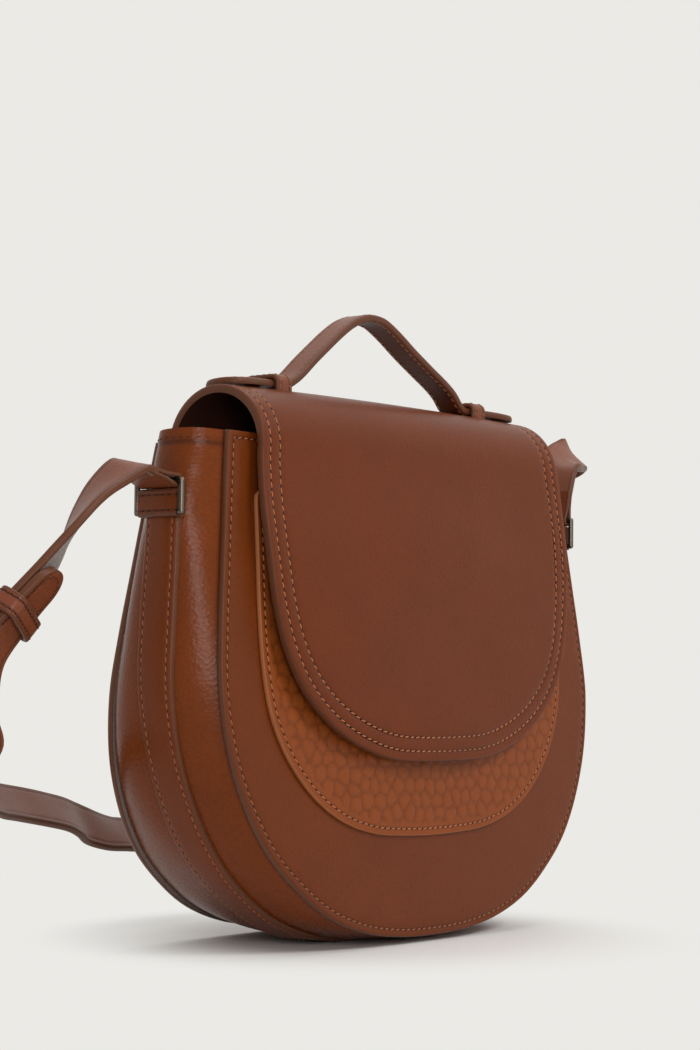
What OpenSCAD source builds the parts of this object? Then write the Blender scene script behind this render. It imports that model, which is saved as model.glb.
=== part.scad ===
// Saddle handbag with a rounded body, a flap over an arch, a patch pocket, a top handle and a long strap.
// Units are millimetres. X runs along the width, the front faces -Y and Z points up.
// The origin lies on the floor under the middle of the top edge.

/* [Body] */
// width of the front and back panels at their widest
body_w = 220; // [200:1:240]
// height of the top edge above the floor
body_h = 175; // [165:1:190]
// distance from the middle of the top edge to the outer face of the front panel at the floor
base_front = 28; // [25:0.5:32]
// distance from the middle of the top edge to the outer face of the back panel at the floor
base_back = 41; // [36:0.5:46]
// depth over both panels at the top edge
top_depth = 32; // [30:1:36]
// height of the lowest edge of the panels above the floor
panel_lift = 2.4; // [1:0.2:4]
// thickness of a panel
panel_t = 2.4; // [1.6:0.2:3]

/* [Gusset] */
// how far the panel edges stand out past the gusset
seam_inset = 1.2; // [0.6:0.2:2]
// how far the middle of the gusset swells out at its fullest
bulge = 10.5; // [8:0.5:13]
// thickness of the gusset
gusset_t = 1.8; // [1.2:0.2:2.4]
// width of the band along the middle of the gusset
band_w = 14; // [12:0.5:16]
// thickness of the band
band_t = 1.3; // [0.8:0.1:2]
// height at which each band ends above the floor
band_low = 7; // [5:0.5:12]

/* [Inside] */
// thickness of the boards behind the panels and on the floor
board_t = 1; // [0.6:0.2:1.6]
// gap between the edge of a panel and its board
board_inset = 6; // [5:0.5:10]
// thickness of the lining
lining_t = 0.8; // [0.4:0.2:1.2]
// gap between the gusset and its lining
lining_gap = 0.5; // [0.4:0.1:1]
// width of the board on the inside floor
floor_board_w = 70; // [50:2:90]

/* [Front pocket] */
// width of the pocket
pocket_w = 182; // [160:1:190]
// height of the lowest point of the pocket above the floor
pocket_low = 38; // [30:1:44]
// height of the pocket's mouth above the floor
pocket_high = 152; // [140:1:158]
// thickness of the pocket leather
pocket_t = 1.6; // [1:0.2:2]

/* [Flap] */
// width of the flap at its widest
flap_w = 182; // [165:1:190]
// height of the lowest point of the flap above the floor
flap_low = 62.8; // [55:1:75]
// thickness of the flap's outer leather
flap_t = 1.6; // [1:0.2:2]
// thickness of the flap's lining leather
flap_lining_t = 1.4; // [1.4:0.2:2]
// gap between the closed flap and the pocket
flap_gap = 0.3; // [0.2:0.1:1]
// distance of the folds below the top edge of the body
fold_drop = 2; // [1:0.25:3]
// height of the strip that joins the flap to the back panel
rear_strip_h = 27; // [20:1:40]
// height of the lower part of that strip, which is sewn to the panel
rear_seam_h = 6; // [4:0.5:10]
// gap left between the stiff pieces on each side of a fold
fold_gap = 0.3; // [0.2:0.1:0.6]

/* [Closing magnets] */
// diameter of each magnet
magnet_d = 16; // [12:1:20]
// thickness of each magnet
magnet_t = 1; // [0.6:0.2:1]
// height of the magnets above the floor
magnet_z = 84; // [80:1:100]

/* [Handle] */
// width of the handle strip
handle_w = 12; // [10:0.5:15]
// thickness of the handle strip
handle_t = 2.8; // [2.4:0.2:4]
// how far the middle line of the handle lies behind the middle of the top edge
handle_y = 3; // [0:0.5:4]
// distance from the middle of the bag to the inner side of each handle loop
loop_x = 55; // [48:1:60]
// length of each handle loop along the handle
loop_l = 9; // [8:0.5:12]
// thickness of the loop leather
loop_t = 1.8; // [1.2:0.2:2.4]
// distance from the middle of the bag to the tip of each end tab
tab_tip_x = 87; // [82:1:92]
// width of each end tab at its widest
tab_w = 17; // [15:0.5:20]
// height of the raised handle above the flap
handle_rise = 34; // [28:0.5:40]
// gap around the handle in its loops
handle_gap = 0.3; // [0.2:0.1:0.6]

/* [Side rings] */
// height of the lower bar of each ring
ring_z = 148.5; // [144:0.5:152]
// height between the centres of the two bars
ring_h = 10.5; // [10:0.5:14]
// thickness of the ring wire
ring_wire = 2; // [1.6:0.1:2.4]
// distance of the ring from the gusset
ring_stand = 2.6; // [2.4:0.1:4]
// gap between the ring and the leather that turns on it
ring_gap = 0.05; // [0.03:0.01:0.09]
// height of the stitched tab that holds the ring
tab_band_h = 9.2; // [9:0.1:10]
// how far that tab reaches below the lower bar
tab_band_drop = 1.7; // [1.6:0.1:2.2]
// leather left outside the lower bar
tab_band_cover = 0.9; // [0.6:0.1:1.4]

/* [Strap] */
// width of the shoulder strap
strap_w = 17.6; // [14:0.2:18]
// thickness of the shoulder strap
strap_t = 2.8; // [2:0.2:3.2]
// length of the stitched end beyond the ring
strap_end_l = 12; // [10:1:18]
// angle of the stitched end above the level
strap_end_rise = 12; // [0:1:15]
// gap between the stitched end and the rest of the strap
strap_end_gap = 0.4; // [0.3:0.1:0.8]

/* [Buckle] */
// thickness of the buckle wire
buckle_wire = 2.4; // [2:0.2:3]
// length of the buckle frame along the strap
buckle_l = 17; // [15:0.5:22]
// gap between the strap and the buckle frame
buckle_gap = 1; // [0.6:0.1:1.6]
// gap between the strap and the folded end that it crosses
bar_gap = 0.9; // [0.8:0.1:1.4]
// thickness of the buckle prong
prong_t = 1.8; // [1.4:0.1:2.2]
// width of the keeper along the strap
keeper_l = 9; // [7:0.5:12]
// thickness of the keeper
keeper_t = 1.4; // [1:0.2:2]
// gap inside the keeper
keeper_gap = 0.7; // [0.6:0.1:1]

/* [Hidden] */
$fn = 48;

// the driving strap measures with a short name for half of each
half_strap = strap_w / 2;
half_body = body_w / 2;

// steps between two hand-set points of an outline, and between two points of the strap
steps = 4;
strap_steps = 2;
// columns across the gusset, its band and the tabs that lie on it
gusset_columns = 10;
band_columns = 4;

// outline of the panels as shares of the half width and of the height, from the bottom up
panel_shares = [
    [0, 0], [0.18, 0.004], [0.36, 0.021], [0.53, 0.057], [0.67, 0.11], [0.8, 0.18], [0.9, 0.27],
    [0.97, 0.377], [1, 0.5], [0.99, 0.62], [0.97, 0.74], [0.948, 0.87], [0.925, 1]
];
// outline of the pocket as shares of its half width and its height
pocket_shares = [
    [0, 0], [0.24, 0.006], [0.37, 0.017], [0.51, 0.045], [0.65, 0.095], [0.78, 0.17], [0.89, 0.27],
    [0.965, 0.39], [0.995, 0.53], [1, 0.68], [0.99, 0.83], [0.974, 0.94], [0.962, 0.98], [0.94, 1]
];
// outline of the hanging part of the flap as shares of its half width and its height
flap_shares = [
    [0, 0], [0.22, 0.003], [0.34, 0.012], [0.466, 0.035], [0.604, 0.077], [0.736, 0.14],
    [0.853, 0.231], [0.934, 0.35], [0.974, 0.482], [0.99, 0.62], [1, 0.776], [0.985, 0.94], [0.975, 1]
];
// height share against share of the swell of the gusset
swell_shares = [[0, 0.38], [0.15, 0.45], [0.3, 0.58], [0.5, 0.76], [0.62, 0.83], [0.88, 1], [1, 0.8]];
// power of the curve across the gusset
swell_power = 3;

// position of the handle's top line as shares of the loop distance and of its rise, from left to right
handle_shares = [
    [-1, 0.06], [-0.94, 0.09], [-0.85, 0.23], [-0.72, 0.42], [-0.57, 0.61], [-0.35, 0.85],
    [-0.2, 0.98], [-0.09, 0.98], [0.04, 0.9], [0.21, 0.75], [0.45, 0.56], [0.7, 0.36],
    [0.85, 0.2], [0.94, 0.09], [1, 0.06]
];
// shares of the loop distance at which the middle piece of the handle starts and ends
crown_shares = [-0.4, 0.14];

// line of the left end of the strap: position and direction of its width
short_line = [
    [[-131, 0, 163], [0, 1, 0.2]], [[-139, 2, 157], [0.15, 0.95, 0.1]], [[-147, 3, 149], [0.3, 0.95, -0.15]],
    [[-155, 4, 138], [0.45, 0.7, -0.3]], [[-163, 7, 126], [0.7, 0.6, -0.4]],
    [[-172, 11, 114], [0.8, 0.45, -0.4]], [[-180, 15, 102], [0.9, 0.35, -0.4]],
    [[-183, 16, 89], [1, 0.27, 0]], [[-183, 16, 80], [1, 0.27, 0]]
];
// loose tip of the other end, before it lies flat on that line from the keeper on
tip_line = [[[-160, 2, 127], [0.75, 0.5, -0.4]], [[-165, 5, 121], [0.75, 0.5, -0.4]]];
keeper_point = 5;
// place of the buckle's upper bar and its turn about the upright
buckle_at = [-183, 16, 72];
buckle_turn = 15;
// line of the rest of the strap, from below the buckle round the back to the right ring
far_line = [
    [[-184, 22, 38], [1, 0.2, 0.1]], [[-181, 36, 31], [0.9, 0.2, 0.4]],
    [[-169, 55, 35], [0.5, 0.3, 0.8]], [[-149, 69, 45], [0.1, 0.5, 0.85]],
    [[-125, 77, 51], [-0.2, 0.7, 0.7]], [[-111, 82, 50], [-0.15, 0.7, 0.7]],
    [[-96, 86, 48], [-0.1, 0.7, 0.7]], [[-83, 88, 46], [-0.05, 0.7, 0.7]],
    [[-72, 90, 44], [0, 0.7, 0.7]], [[-64, 92, 42], [0.05, 0.65, 0.75]],
    [[-55, 95, 39], [0.1, 0.55, 0.8]], [[-44, 96, 36], [0.05, 0.6, 0.75]],
    [[-31, 98, 34], [0, 0.75, 0.65]], [[-17, 100, 32], [0, 0.75, 0.65]],
    [[20, 102, 20], [0, 0.4, 0.9]], [[55, 102, 12], [0, 0, 1]],
    [[86, 107, 10], [0, 0, 1]], [[106, 128, 10], [0, 0, 1]],
    [[98, 152, 11], [0, 0, 1]], [[72, 160, 16], [0, 0, 1]],
    [[52, 144, 24], [0, 0, 1]], [[56, 116, 33], [0, 0, 1]],
    [[82, 98, 38], [0, 0, 1]], [[114, 86, 46], [-0.2, 0.2, 1]],
    [[136, 68, 66], [-0.6, 0.5, 0.7]], [[145, 50, 98], [-0.6, 0.8, 0.3]],
    [[143, 38, 132], [-0.2, 1, 0.3]], [[138, 30, 158], [0.1, 1, 0.3]],
    [[142, 24, 174], [0.2, 0.8, 0.5]], [[147, 16, 184], [0.25, 0.75, 0.6]],
    [[144, 8, 188], [0.25, 0.75, 0.6]], [[133, 4, 186], [0.1, 0.9, 0.35]],
    [[124, 1, 181], [0, 1, 0.1]], [[119, 0, 173], [0, 1, 0]]
];

// lean of the front panel and of the back panel from the upright
lean = atan((base_front - top_depth / 2) / body_h);
back_lean = atan((base_back - top_depth / 2) / body_h);

// distance of the outer and the inner face of each panel at height z from the middle of the top
function front_out(z) = base_front - z * tan(lean);
function front_in(z) = front_out(z) - panel_t / cos(lean);
function back_out(z) = base_back - z * tan(back_lean);
function back_in(z) = back_out(z) - panel_t / cos(back_lean);

// half the depth between the panels at height z, and its middle
function half_in(z) = (front_in(z) + back_in(z)) / 2;
function mid_in(z) = (back_in(z) - front_in(z)) / 2;

// point at share t of the way from b to c on a smooth curve through a, b, c and d
function curve_point(a, b, c, d, t) =
    (2 * b + (c - a) * t + (2 * a - 5 * b + 4 * c - d) * t * t + (3 * b - a - 3 * c + d) * t * t * t) / 2;

// smooth curve through points p, starting as if the point before the first one were given
function smooth(p, before, n = steps) = concat(
    [for (i = [0 : len(p) - 2], j = [0 : n - 1])
        curve_point(
            i == 0 ? before : p[i - 1], p[i], p[i + 1],
            i == len(p) - 2 ? 2 * p[i + 1] - p[i] : p[i + 2], j / n
        )],
    [p[len(p) - 1]]
);

// right half of an outline from its shares, standing on height low
function half_line(shares, half_w, low, high) =
    let (p = [for (s = shares) [s[0] * half_w, low + s[1] * (high - low)]])
    smooth(p, [-p[1][0], p[1][1]]);

// full outline from the top left corner round the bottom to the top right corner
function full_line(half) = concat(
    [for (i = [len(half) - 1 : -1 : 1]) [-half[i][0], half[i][1]]],
    half
);

panel_half = half_line(panel_shares, half_body, panel_lift, body_h);
panel_line = full_line(panel_half);
fold_z = body_h - fold_drop;

// half width of the panels at height z
half_by_height = [for (p = panel_half) [p[1], p[0]]];
function panel_x(z) = lookup(z, half_by_height);

// swell of the gusset at height z and at share v of the way across it
function swell(z, v) =
    bulge * lookup((z - panel_lift) / (body_h - panel_lift), swell_shares) * (1 - pow(abs(v), swell_power));

// outward direction at point i of a line of points
function outward(p, i) =
    let (a = p[max(i - 1, 0)], b = p[min(i + 1, len(p) - 1)], t = (b - a) / norm(b - a))
    [t[1], -t[0]];

// rows of points on a skin that stands off from the outer face of the gusset
function gusset_rows(line, off, share, columns, low) = [
    for (i = [0 : len(line) - 1]) [
        for (j = [0 : columns])
            let (
                v = share(line[i][1], 2 * j / columns - 1),
                q = line[i] + outward(line, i) * (off - seam_inset + swell(line[i][1], v)),
                z = max(low, q[1])
            )
            [q[0], mid_in(z) + v * half_in(z), z]
    ]
];
// share across the gusset at height z, for a place s from -1 to 1 across the skin
whole = function(z, s) s;
band_share = function(z, s) (s * band_w / 2 - mid_in(z)) / half_in(z);

// closed solid between two grids of points
module between(outer, inner) {
    rows = len(outer) - 1;
    cols = len(outer[0]) - 1;
    w = cols + 1;
    n = (rows + 1) * w;
    points = concat([for (r = outer, p = r) p], [for (r = inner, p = r) p]);
    skin = [for (i = [0 : rows - 1], j = [0 : cols - 1])
        let (a = i * w + j, b = a + w) each [[a, b, b + 1], [a, b + 1, a + 1]]];
    back = [for (f = skin) [f[0] + n, f[2] + n, f[1] + n]];
    front_side = [for (i = [0 : rows - 1])
        let (a = i * w, b = a + w) each [[b, a, a + n], [b, a + n, b + n]]];
    rear_side = [for (i = [0 : rows - 1])
        let (a = i * w + cols, b = a + w) each [[a, b, b + n], [a, b + n, a + n]]];
    first_end = [for (j = [0 : cols - 1]) each [[j, j + 1, j + 1 + n], [j, j + 1 + n, j + n]]];
    last_end = [for (j = [0 : cols - 1])
        let (a = rows * w + j) each [[a + 1, a, a + n], [a + 1, a + n, a + 1 + n]]];
    polyhedron(points = points, faces = concat(skin, back, front_side, rear_side, first_end, last_end));
}

// skin of the given thickness whose inner side stands off from the gusset
module gusset_skin(line, off, thick, share, columns, low) {
    between(
        gusset_rows(line, off + thick, share, columns, low),
        gusset_rows(line, off, share, columns, low + thick)
    );
}

// places a flat drawing on the outer face of a panel, with its depth pointing outwards
module on_front() {
    translate([0, -base_front, 0]) rotate([90 - lean, 0, 0]) children();
}
module on_back() {
    mirror([0, 1, 0]) translate([0, -base_back, 0]) rotate([90 - back_lean, 0, 0]) children();
}

// flat plate from an outline, with its inner face at height from above a panel of that lean
module plate(line, from, thick, angle = lean) {
    translate([0, 0, from]) linear_extrude(thick) polygon([for (p = line) [p[0], p[1] / cos(angle)]]);
}

inside_line = full_line(half_line(panel_shares, half_body - board_inset, panel_lift + board_inset, body_h));

module front_panel() {
    color([0.32, 0.13, 0.07]) on_front() plate(panel_line, -panel_t, panel_t);
}
module back_panel() {
    color([0.32, 0.13, 0.07]) on_back() plate(panel_line, -panel_t, panel_t, back_lean);
}

module gusset() {
    color([0.36, 0.15, 0.08]) gusset_skin(panel_line, -gusset_t, gusset_t, whole, gusset_columns, 0);
}

// gap between two pieces of leather that lie face to face
ply_gap = fold_gap / 2;

// part of the gusset's line that a side band covers, on the left
band_line = [for (p = panel_line) if (p[0] < 0 && p[1] > band_low && p[1] < ring_z - tab_band_drop) p];
module gusset_band_left() {
    color([0.31, 0.12, 0.06]) gusset_skin(band_line, ply_gap, band_t, band_share, band_columns, 0);
}
module gusset_band_right() {
    mirror([1, 0, 0]) gusset_band_left();
}

module front_board() {
    color([0.6, 0.55, 0.46]) on_front() difference() {
        plate(inside_line, -panel_t - board_t, board_t);
        magnet_hole();
    }
}
module back_board() {
    color([0.6, 0.55, 0.46]) on_back() plate(inside_line, -panel_t - board_t, board_t, back_lean);
}
// place of the magnets in the drawing of the front
module magnet_hole() {
    translate([0, magnet_z / cos(lean), -panel_t - board_t]) cylinder(d = magnet_d, h = board_t);
}
module body_magnet() {
    color([0.7, 0.7, 0.72]) on_front() translate([0, magnet_z / cos(lean), -panel_t - magnet_t])
        cylinder(d = magnet_d, h = magnet_t);
}

inside_t = board_t + lining_t;
module lining_front() {
    color([0.1, 0.09, 0.09]) on_front() plate(inside_line, -panel_t - inside_t, lining_t);
}
module lining_back() {
    color([0.1, 0.09, 0.09]) on_back() plate(inside_line, -panel_t - inside_t, lining_t, back_lean);
}
// share of the gusset between the lined boards
lined = function(z, s) s * (half_in(z) - (inside_t + fold_gap) / cos(back_lean)) / half_in(z);
module lining_gusset() {
    inner = gusset_t + lining_gap;
    color([0.1, 0.09, 0.09])
        gusset_skin(panel_line, -inner - lining_t, lining_t, lined, gusset_columns, inner);
}
// height of the lined floor at a distance from the middle
floor_by_x = [for (p = panel_half) if (p[1] < body_h / 2) p];
function floor_z(x) = lookup(x, floor_by_x) + seam_inset + gusset_t + 2 * lining_gap + lining_t;
module base_board() {
    // stands on the lining over the flat of the base
    z = floor_z(floor_board_w / 2);
    depth = 2 * (half_in(z + board_t) - inside_t - 2 * board_t);
    color([0.6, 0.55, 0.46]) translate([-floor_board_w / 2, mid_in(z) - depth / 2, z])
        cube([floor_board_w, depth, board_t]);
}

module front_pocket() {
    line = full_line(half_line(pocket_shares, pocket_w / 2, pocket_low, pocket_high));
    color([0.48, 0.22, 0.12]) on_front() plate(line, 0, pocket_t);
}

flap_from = pocket_t + flap_gap;
flap_high = fold_z - fold_gap - (flap_from + flap_t + flap_lining_t) * sin(lean);
flap_line = full_line(half_line(flap_shares, flap_w / 2, flap_low, flap_high));
module flap_face() {
    color([0.33, 0.13, 0.07]) on_front() plate(flap_line, flap_from + flap_lining_t, flap_t);
}
module flap_face_lining() {
    color([0.3, 0.12, 0.06]) on_front() difference() {
        plate(flap_line, flap_from, flap_lining_t);
        translate([0, magnet_z / cos(lean), flap_from + flap_lining_t - magnet_t])
            cylinder(d = magnet_d, h = magnet_t);
    }
}
module flap_magnet() {
    color([0.7, 0.7, 0.72]) on_front()
        translate([0, magnet_z / cos(lean), flap_from + flap_lining_t - magnet_t])
            cylinder(d = magnet_d, h = magnet_t);
}

// the arch runs from the front of the closed flap to the outer face of the strip on the back panel
flap_all_t = flap_t + flap_lining_t;
arch_front = front_out(fold_z) + (flap_from + flap_all_t) / cos(lean);
rear_low = fold_z - rear_strip_h;
rear_seam_z = rear_low + rear_seam_h;
arch_back = back_out(rear_seam_z) + flap_all_t / cos(back_lean);
arch_r = (arch_front + arch_back) / 2;
arch_y = (arch_back - arch_front) / 2;
arch_w = flap_w * flap_shares[len(flap_shares) - 1][0];
ridge_z = fold_z + arch_r;

// half tube over the top of the bag
module arch(r_out, thick) {
    translate([-arch_w / 2, arch_y, fold_z]) rotate([90, 0, 90]) linear_extrude(arch_w) difference() {
        circle(r_out);
        circle(r_out - thick);
        translate([-r_out, -2 * r_out]) square(2 * r_out);
    }
}
module flap_arch() {
    color([0.35, 0.14, 0.08]) arch(arch_r, flap_t);
}
module flap_arch_lining() {
    color([0.3, 0.12, 0.06]) arch(arch_r - flap_t, flap_lining_t);
}

// the strip is sewn on along its lower part and stands straight up from there, clear of the arch above it
strip_top = fold_z - fold_gap;
module flap_rear_strip() {
    color([0.33, 0.13, 0.07]) translate([-arch_w / 2, 0, 0]) rotate([90, 0, 90]) linear_extrude(arch_w)
        polygon([
            [back_out(rear_low), rear_low],
            [back_out(rear_low) + flap_all_t / cos(back_lean), rear_low],
            [arch_back, rear_seam_z],
            [arch_back, strip_top],
            [back_out(rear_seam_z), strip_top],
            [back_out(rear_seam_z), rear_seam_z]
        ]);
}

handle_low = ridge_z + handle_gap;
loop_hole_w = handle_w + 2 * handle_gap;
module handle_loop_left() {
    color([0.35, 0.14, 0.08]) difference() {
        translate([-loop_x - loop_l, handle_y - loop_hole_w / 2 - loop_t, ridge_z - arch_r])
            cube([loop_l, loop_hole_w + 2 * loop_t, arch_r + handle_t + 2 * handle_gap + loop_t]);
        translate([-loop_x - 2 * loop_l, handle_y - loop_hole_w / 2, ridge_z])
            cube([3 * loop_l, loop_hole_w, handle_t + 2 * handle_gap]);
        translate([-loop_x - 2 * loop_l, arch_y, fold_z]) rotate([0, 90, 0])
            cylinder(r = arch_r, h = 3 * loop_l);
    }
}
module handle_loop_right() {
    mirror([1, 0, 0]) handle_loop_left();
}

// top line of the handle between its loops
handle_start = handle_low + handle_t - handle_shares[0][1] * handle_rise;
handle_points = [for (s = handle_shares) [s[0] * (loop_x - fold_gap), handle_start + s[1] * handle_rise]];
handle_top = smooth(handle_points, 2 * handle_points[0] - [handle_points[1][0], handle_points[0][1]]);
handle_last = len(handle_top) - 1;
handle_under = [for (i = [handle_last : -1 : 0]) handle_top[i] + outward(handle_top, i) * handle_t];
// slice of the handle between two distances from the middle
module handle_slice(from, to) {
    color([0.35, 0.15, 0.09]) translate([0, handle_y + handle_w / 2, 0]) rotate([90, 0, 0])
        linear_extrude(handle_w) intersection() {
            polygon(concat(handle_top, handle_under));
            translate([from, handle_low - handle_rise]) square([to - from, 3 * handle_rise]);
        }
}
crown_from = crown_shares[0] * loop_x;
crown_to = crown_shares[1] * loop_x;
module handle_crown() {
    handle_slice(crown_from, crown_to);
}
module handle_leg_left() {
    handle_slice(-loop_x, crown_from);
}
module handle_leg_right() {
    handle_slice(crown_to, loop_x);
}

// half of the plan of an end tab as shares of its length and of its half width
tab_shares = [[0.42, 0.79], [0.56, 0.9], [0.7, 0.98], [0.82, 1], [0.91, 0.92], [0.97, 0.66], [1, 0.3]];
// the tab keeps the width of the handle until it is out of the loop
module handle_tab_left() {
    inner = loop_x + fold_gap;
    neck = loop_x + loop_l + handle_gap;
    far = [for (s = tab_shares) [-inner - s[0] * (tab_tip_x - inner), s[1] * tab_w / 2]];
    near = [for (i = [len(far) - 1 : -1 : 0]) [far[i][0], -far[i][1]]];
    color([0.34, 0.14, 0.08]) translate([0, handle_y, handle_low]) linear_extrude(handle_t)
        polygon(concat(
            [[-inner, handle_w / 2], [-neck, handle_w / 2]], far, near,
            [[-neck, -handle_w / 2], [-inner, -handle_w / 2]]
        ));
}
module handle_tab_right() {
    mirror([1, 0, 0]) handle_tab_left();
}

// outer face of the gusset at height z and depth y
function gusset_x(z, y) = panel_x(z) - seam_inset + swell(z, (y - mid_in(z)) / half_in(z));
ring_x = gusset_x(ring_z, 0) + ring_stand;
ring_half_w = half_strap + fold_gap + ring_wire;

module ring_bar_along(z) {
    translate([-ring_x, -ring_half_w + ring_wire / 2, z]) rotate([-90, 0, 0])
        cylinder(d = ring_wire, h = 2 * ring_half_w - ring_wire);
}
module ring_left() {
    color([0.75, 0.75, 0.74]) for (z = [ring_z, ring_z + ring_h]) {
        ring_bar_along(z);
        for (s = [-1, 1]) translate([-ring_x, s * (ring_half_w - ring_wire / 2), z]) sphere(d = ring_wire);
    }
    color([0.75, 0.75, 0.74]) for (s = [-1, 1])
        translate([-ring_x, s * (ring_half_w - ring_wire / 2), ring_z]) cylinder(d = ring_wire, h = ring_h);
}
module ring_right() {
    mirror([1, 0, 0]) ring_left();
}

tab_rows = 5;
tab_bottom = ring_z - tab_band_drop;
// rows of the stitched tab that holds the ring, at its face on the gusset and at its outer face
function tab_face(outer) = [
    for (i = [0 : tab_rows]) [
        for (j = [0 : gusset_columns])
            let (
                z = tab_bottom + tab_band_h * (1 - i / tab_rows),
                y = half_strap * (2 * j / gusset_columns - 1)
            )
            [-(outer ? ring_x + ring_wire / 2 + tab_band_cover : gusset_x(z, y)), y, z]
    ]
];
module ring_tab_left() {
    color([0.33, 0.13, 0.07]) difference() {
        between(tab_face(true), tab_face(false));
        translate([-ring_x, -strap_w, ring_z]) rotate([-90, 0, 0])
            cylinder(d = ring_wire + 2 * ring_gap, h = 2 * strap_w);
    }
}
module ring_tab_right() {
    mirror([1, 0, 0]) ring_tab_left();
}

// stitched end of the strap, folded round the upper bar of the ring
strap_ply = strap_t / 2;
fold_r = ring_wire / 2 + ring_gap;
module strap_end_at(turn) {
    color([0.37, 0.17, 0.1]) translate([-ring_x, 0, ring_z + ring_h]) rotate([90, 0, 0]) rotate([0, 0, turn])
        translate([0, 0, -half_strap]) difference() {
            union() {
                cylinder(r = fold_r + strap_ply, h = strap_w);
                translate([0, -strap_t / 2, 0]) cube([strap_end_l, strap_t, strap_w]);
            }
            translate([0, 0, -strap_t]) cylinder(r = fold_r, h = strap_w + 2 * strap_t);
        }
}
right_end_turn = 80;
module strap_end_left() {
    strap_end_at(180 - strap_end_rise);
}
module strap_end_right() {
    mirror([1, 0, 0]) strap_end_at(180 - right_end_turn);
}

// rows of points on one face of a strap laid along a line
function strap_rows(line, side) =
    let (p = smooth([for (q = line) q[0]], 2 * line[0][0] - line[1][0], strap_steps),
        w = smooth([for (q = line) q[1]], line[0][1], strap_steps))
    [for (i = [0 : len(p) - 1])
        let (
            t = p[min(i + 1, len(p) - 1)] - p[max(i - 1, 0)],
            n = cross(t, w[i]) / norm(cross(t, w[i])),
            a = cross(n, t) / norm(cross(n, t))
        )
        [for (s = [-1, 0, 1]) p[i] + a * s * half_strap + n * side * strap_t / 2]];
module strap_along(line) {
    color([0.37, 0.17, 0.1]) between(strap_rows(line, -1), strap_rows(line, 1));
}
module strap_short() {
    strap_along(short_line);
}

// the two ends of the strap lie face to face between the tip and the buckle
ply_step = strap_t + ply_gap;
function suede_side(line, i) =
    let (t = line[min(i + 1, len(line) - 1)][0] - line[max(i - 1, 0)][0], n = cross(t, line[i][1]))
    n / norm(n);
lower_line = concat(tip_line, [
    for (i = [keeper_point : len(short_line) - 1])
        [short_line[i][0] + suede_side(short_line, i) * ply_step, short_line[i][1]]
]);

// places a drawing at the buckle: X runs down the strap, Y across it and Z out of its upper face
module at_buckle() {
    translate(buckle_at) rotate([0, 90, buckle_turn - 90]) children();
}
// point at a distance down the strap from the buckle's upper bar and out from the strap
function buckle_point(down, out) = buckle_at + [out * sin(buckle_turn), -out * cos(buckle_turn), -down];
buckle_across = [cos(buckle_turn), sin(buckle_turn), 0];
fold_out = buckle_wire / 2 + ring_gap + strap_ply;
under_bar = -(buckle_wire / 2 + strap_t / 2 + handle_gap);
over_bar = fold_out + strap_t / 2 + bar_gap;
through_line = [
    [buckle_point(0, over_bar), buckle_across],
    [buckle_point(buckle_l / 2, 0), buckle_across],
    [buckle_point(buckle_l, under_bar), buckle_across],
    [buckle_point(3 * buckle_l / 2, under_bar), buckle_across]
];
long_line = concat(lower_line, through_line, far_line);

module strap_long() {
    difference() {
        strap_along(long_line);
        // slot for the prong
        at_buckle() translate([-buckle_wire, -prong_t, -strap_t])
            cube([buckle_wire + 3 * buckle_l / 4, 2 * prong_t, over_bar + 2 * strap_t]);
    }
}
// folded end that holds the buckle, with a slot for the prong
fold_l = short_line[len(short_line) - 1][0][2] - buckle_at[2] - strap_end_gap;
module strap_fold() {
    color([0.37, 0.17, 0.1]) at_buckle() rotate([90, 0, 0]) translate([0, 0, -half_strap]) difference() {
        union() {
            cylinder(r = fold_out, h = strap_w);
            translate([-fold_l, -strap_t / 2, 0]) cube([fold_l, strap_t, strap_w]);
        }
        translate([0, 0, -strap_t]) cylinder(r = buckle_wire / 2 + ring_gap, h = strap_w + 2 * strap_t);
        translate([-fold_out - prong_t, -fold_out, half_strap - prong_t])
            cube([2 * fold_out + 2 * prong_t, 3 * fold_out, 2 * prong_t]);
    }
}
buckle_half_w = half_strap + buckle_gap + buckle_wire / 2;
module buckle_frame() {
    color([0.75, 0.75, 0.74]) at_buckle() {
        for (x = [0, buckle_l]) translate([x, -buckle_half_w, 0]) rotate([-90, 0, 0])
            cylinder(d = buckle_wire, h = 2 * buckle_half_w);
        for (s = [-1, 1]) translate([0, s * buckle_half_w, 0]) {
            rotate([0, 90, 0]) cylinder(d = buckle_wire, h = buckle_l);
            sphere(d = buckle_wire);
            translate([buckle_l, 0, 0]) sphere(d = buckle_wire);
        }
    }
}
module buckle_prong() {
    eye_r = buckle_wire / 2 + ring_gap;
    rest = buckle_wire / 2 + prong_t / 2 + ring_gap;
    color([0.75, 0.75, 0.74]) at_buckle() {
        difference() {
            translate([0, -prong_t / 2, 0]) rotate([-90, 0, 0])
                cylinder(r = eye_r + prong_t / 2, h = prong_t);
            translate([0, -prong_t, 0]) rotate([-90, 0, 0]) cylinder(r = eye_r, h = 2 * prong_t);
        }
        translate([eye_r / 2, 0, rest]) rotate([0, 90, 0])
            cylinder(d = prong_t, h = buckle_l + buckle_wire / 2 - eye_r / 2);
    }
}

// loop round both ends of the strap at one point of their line
module strap_keeper() {
    t = short_line[keeper_point + 1][0] - short_line[keeper_point - 1][0];
    d = t / norm(t);
    n = suede_side(short_line, keeper_point);
    a = cross(n, d);
    inner = [strap_w + 2 * keeper_gap, 2 * strap_t + ply_gap + 2 * keeper_gap];
    color([0.35, 0.15, 0.09]) translate(short_line[keeper_point][0] + n * ply_step / 2)
        rotate([atan2(a[2], n[2]), -asin(d[2]), atan2(d[1], d[0])]) difference() {
            cube([keeper_l, inner[0] + 2 * keeper_t, inner[1] + 2 * keeper_t], center = true);
            cube([2 * keeper_l, inner[0], inner[1]], center = true);
        }
}

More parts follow.
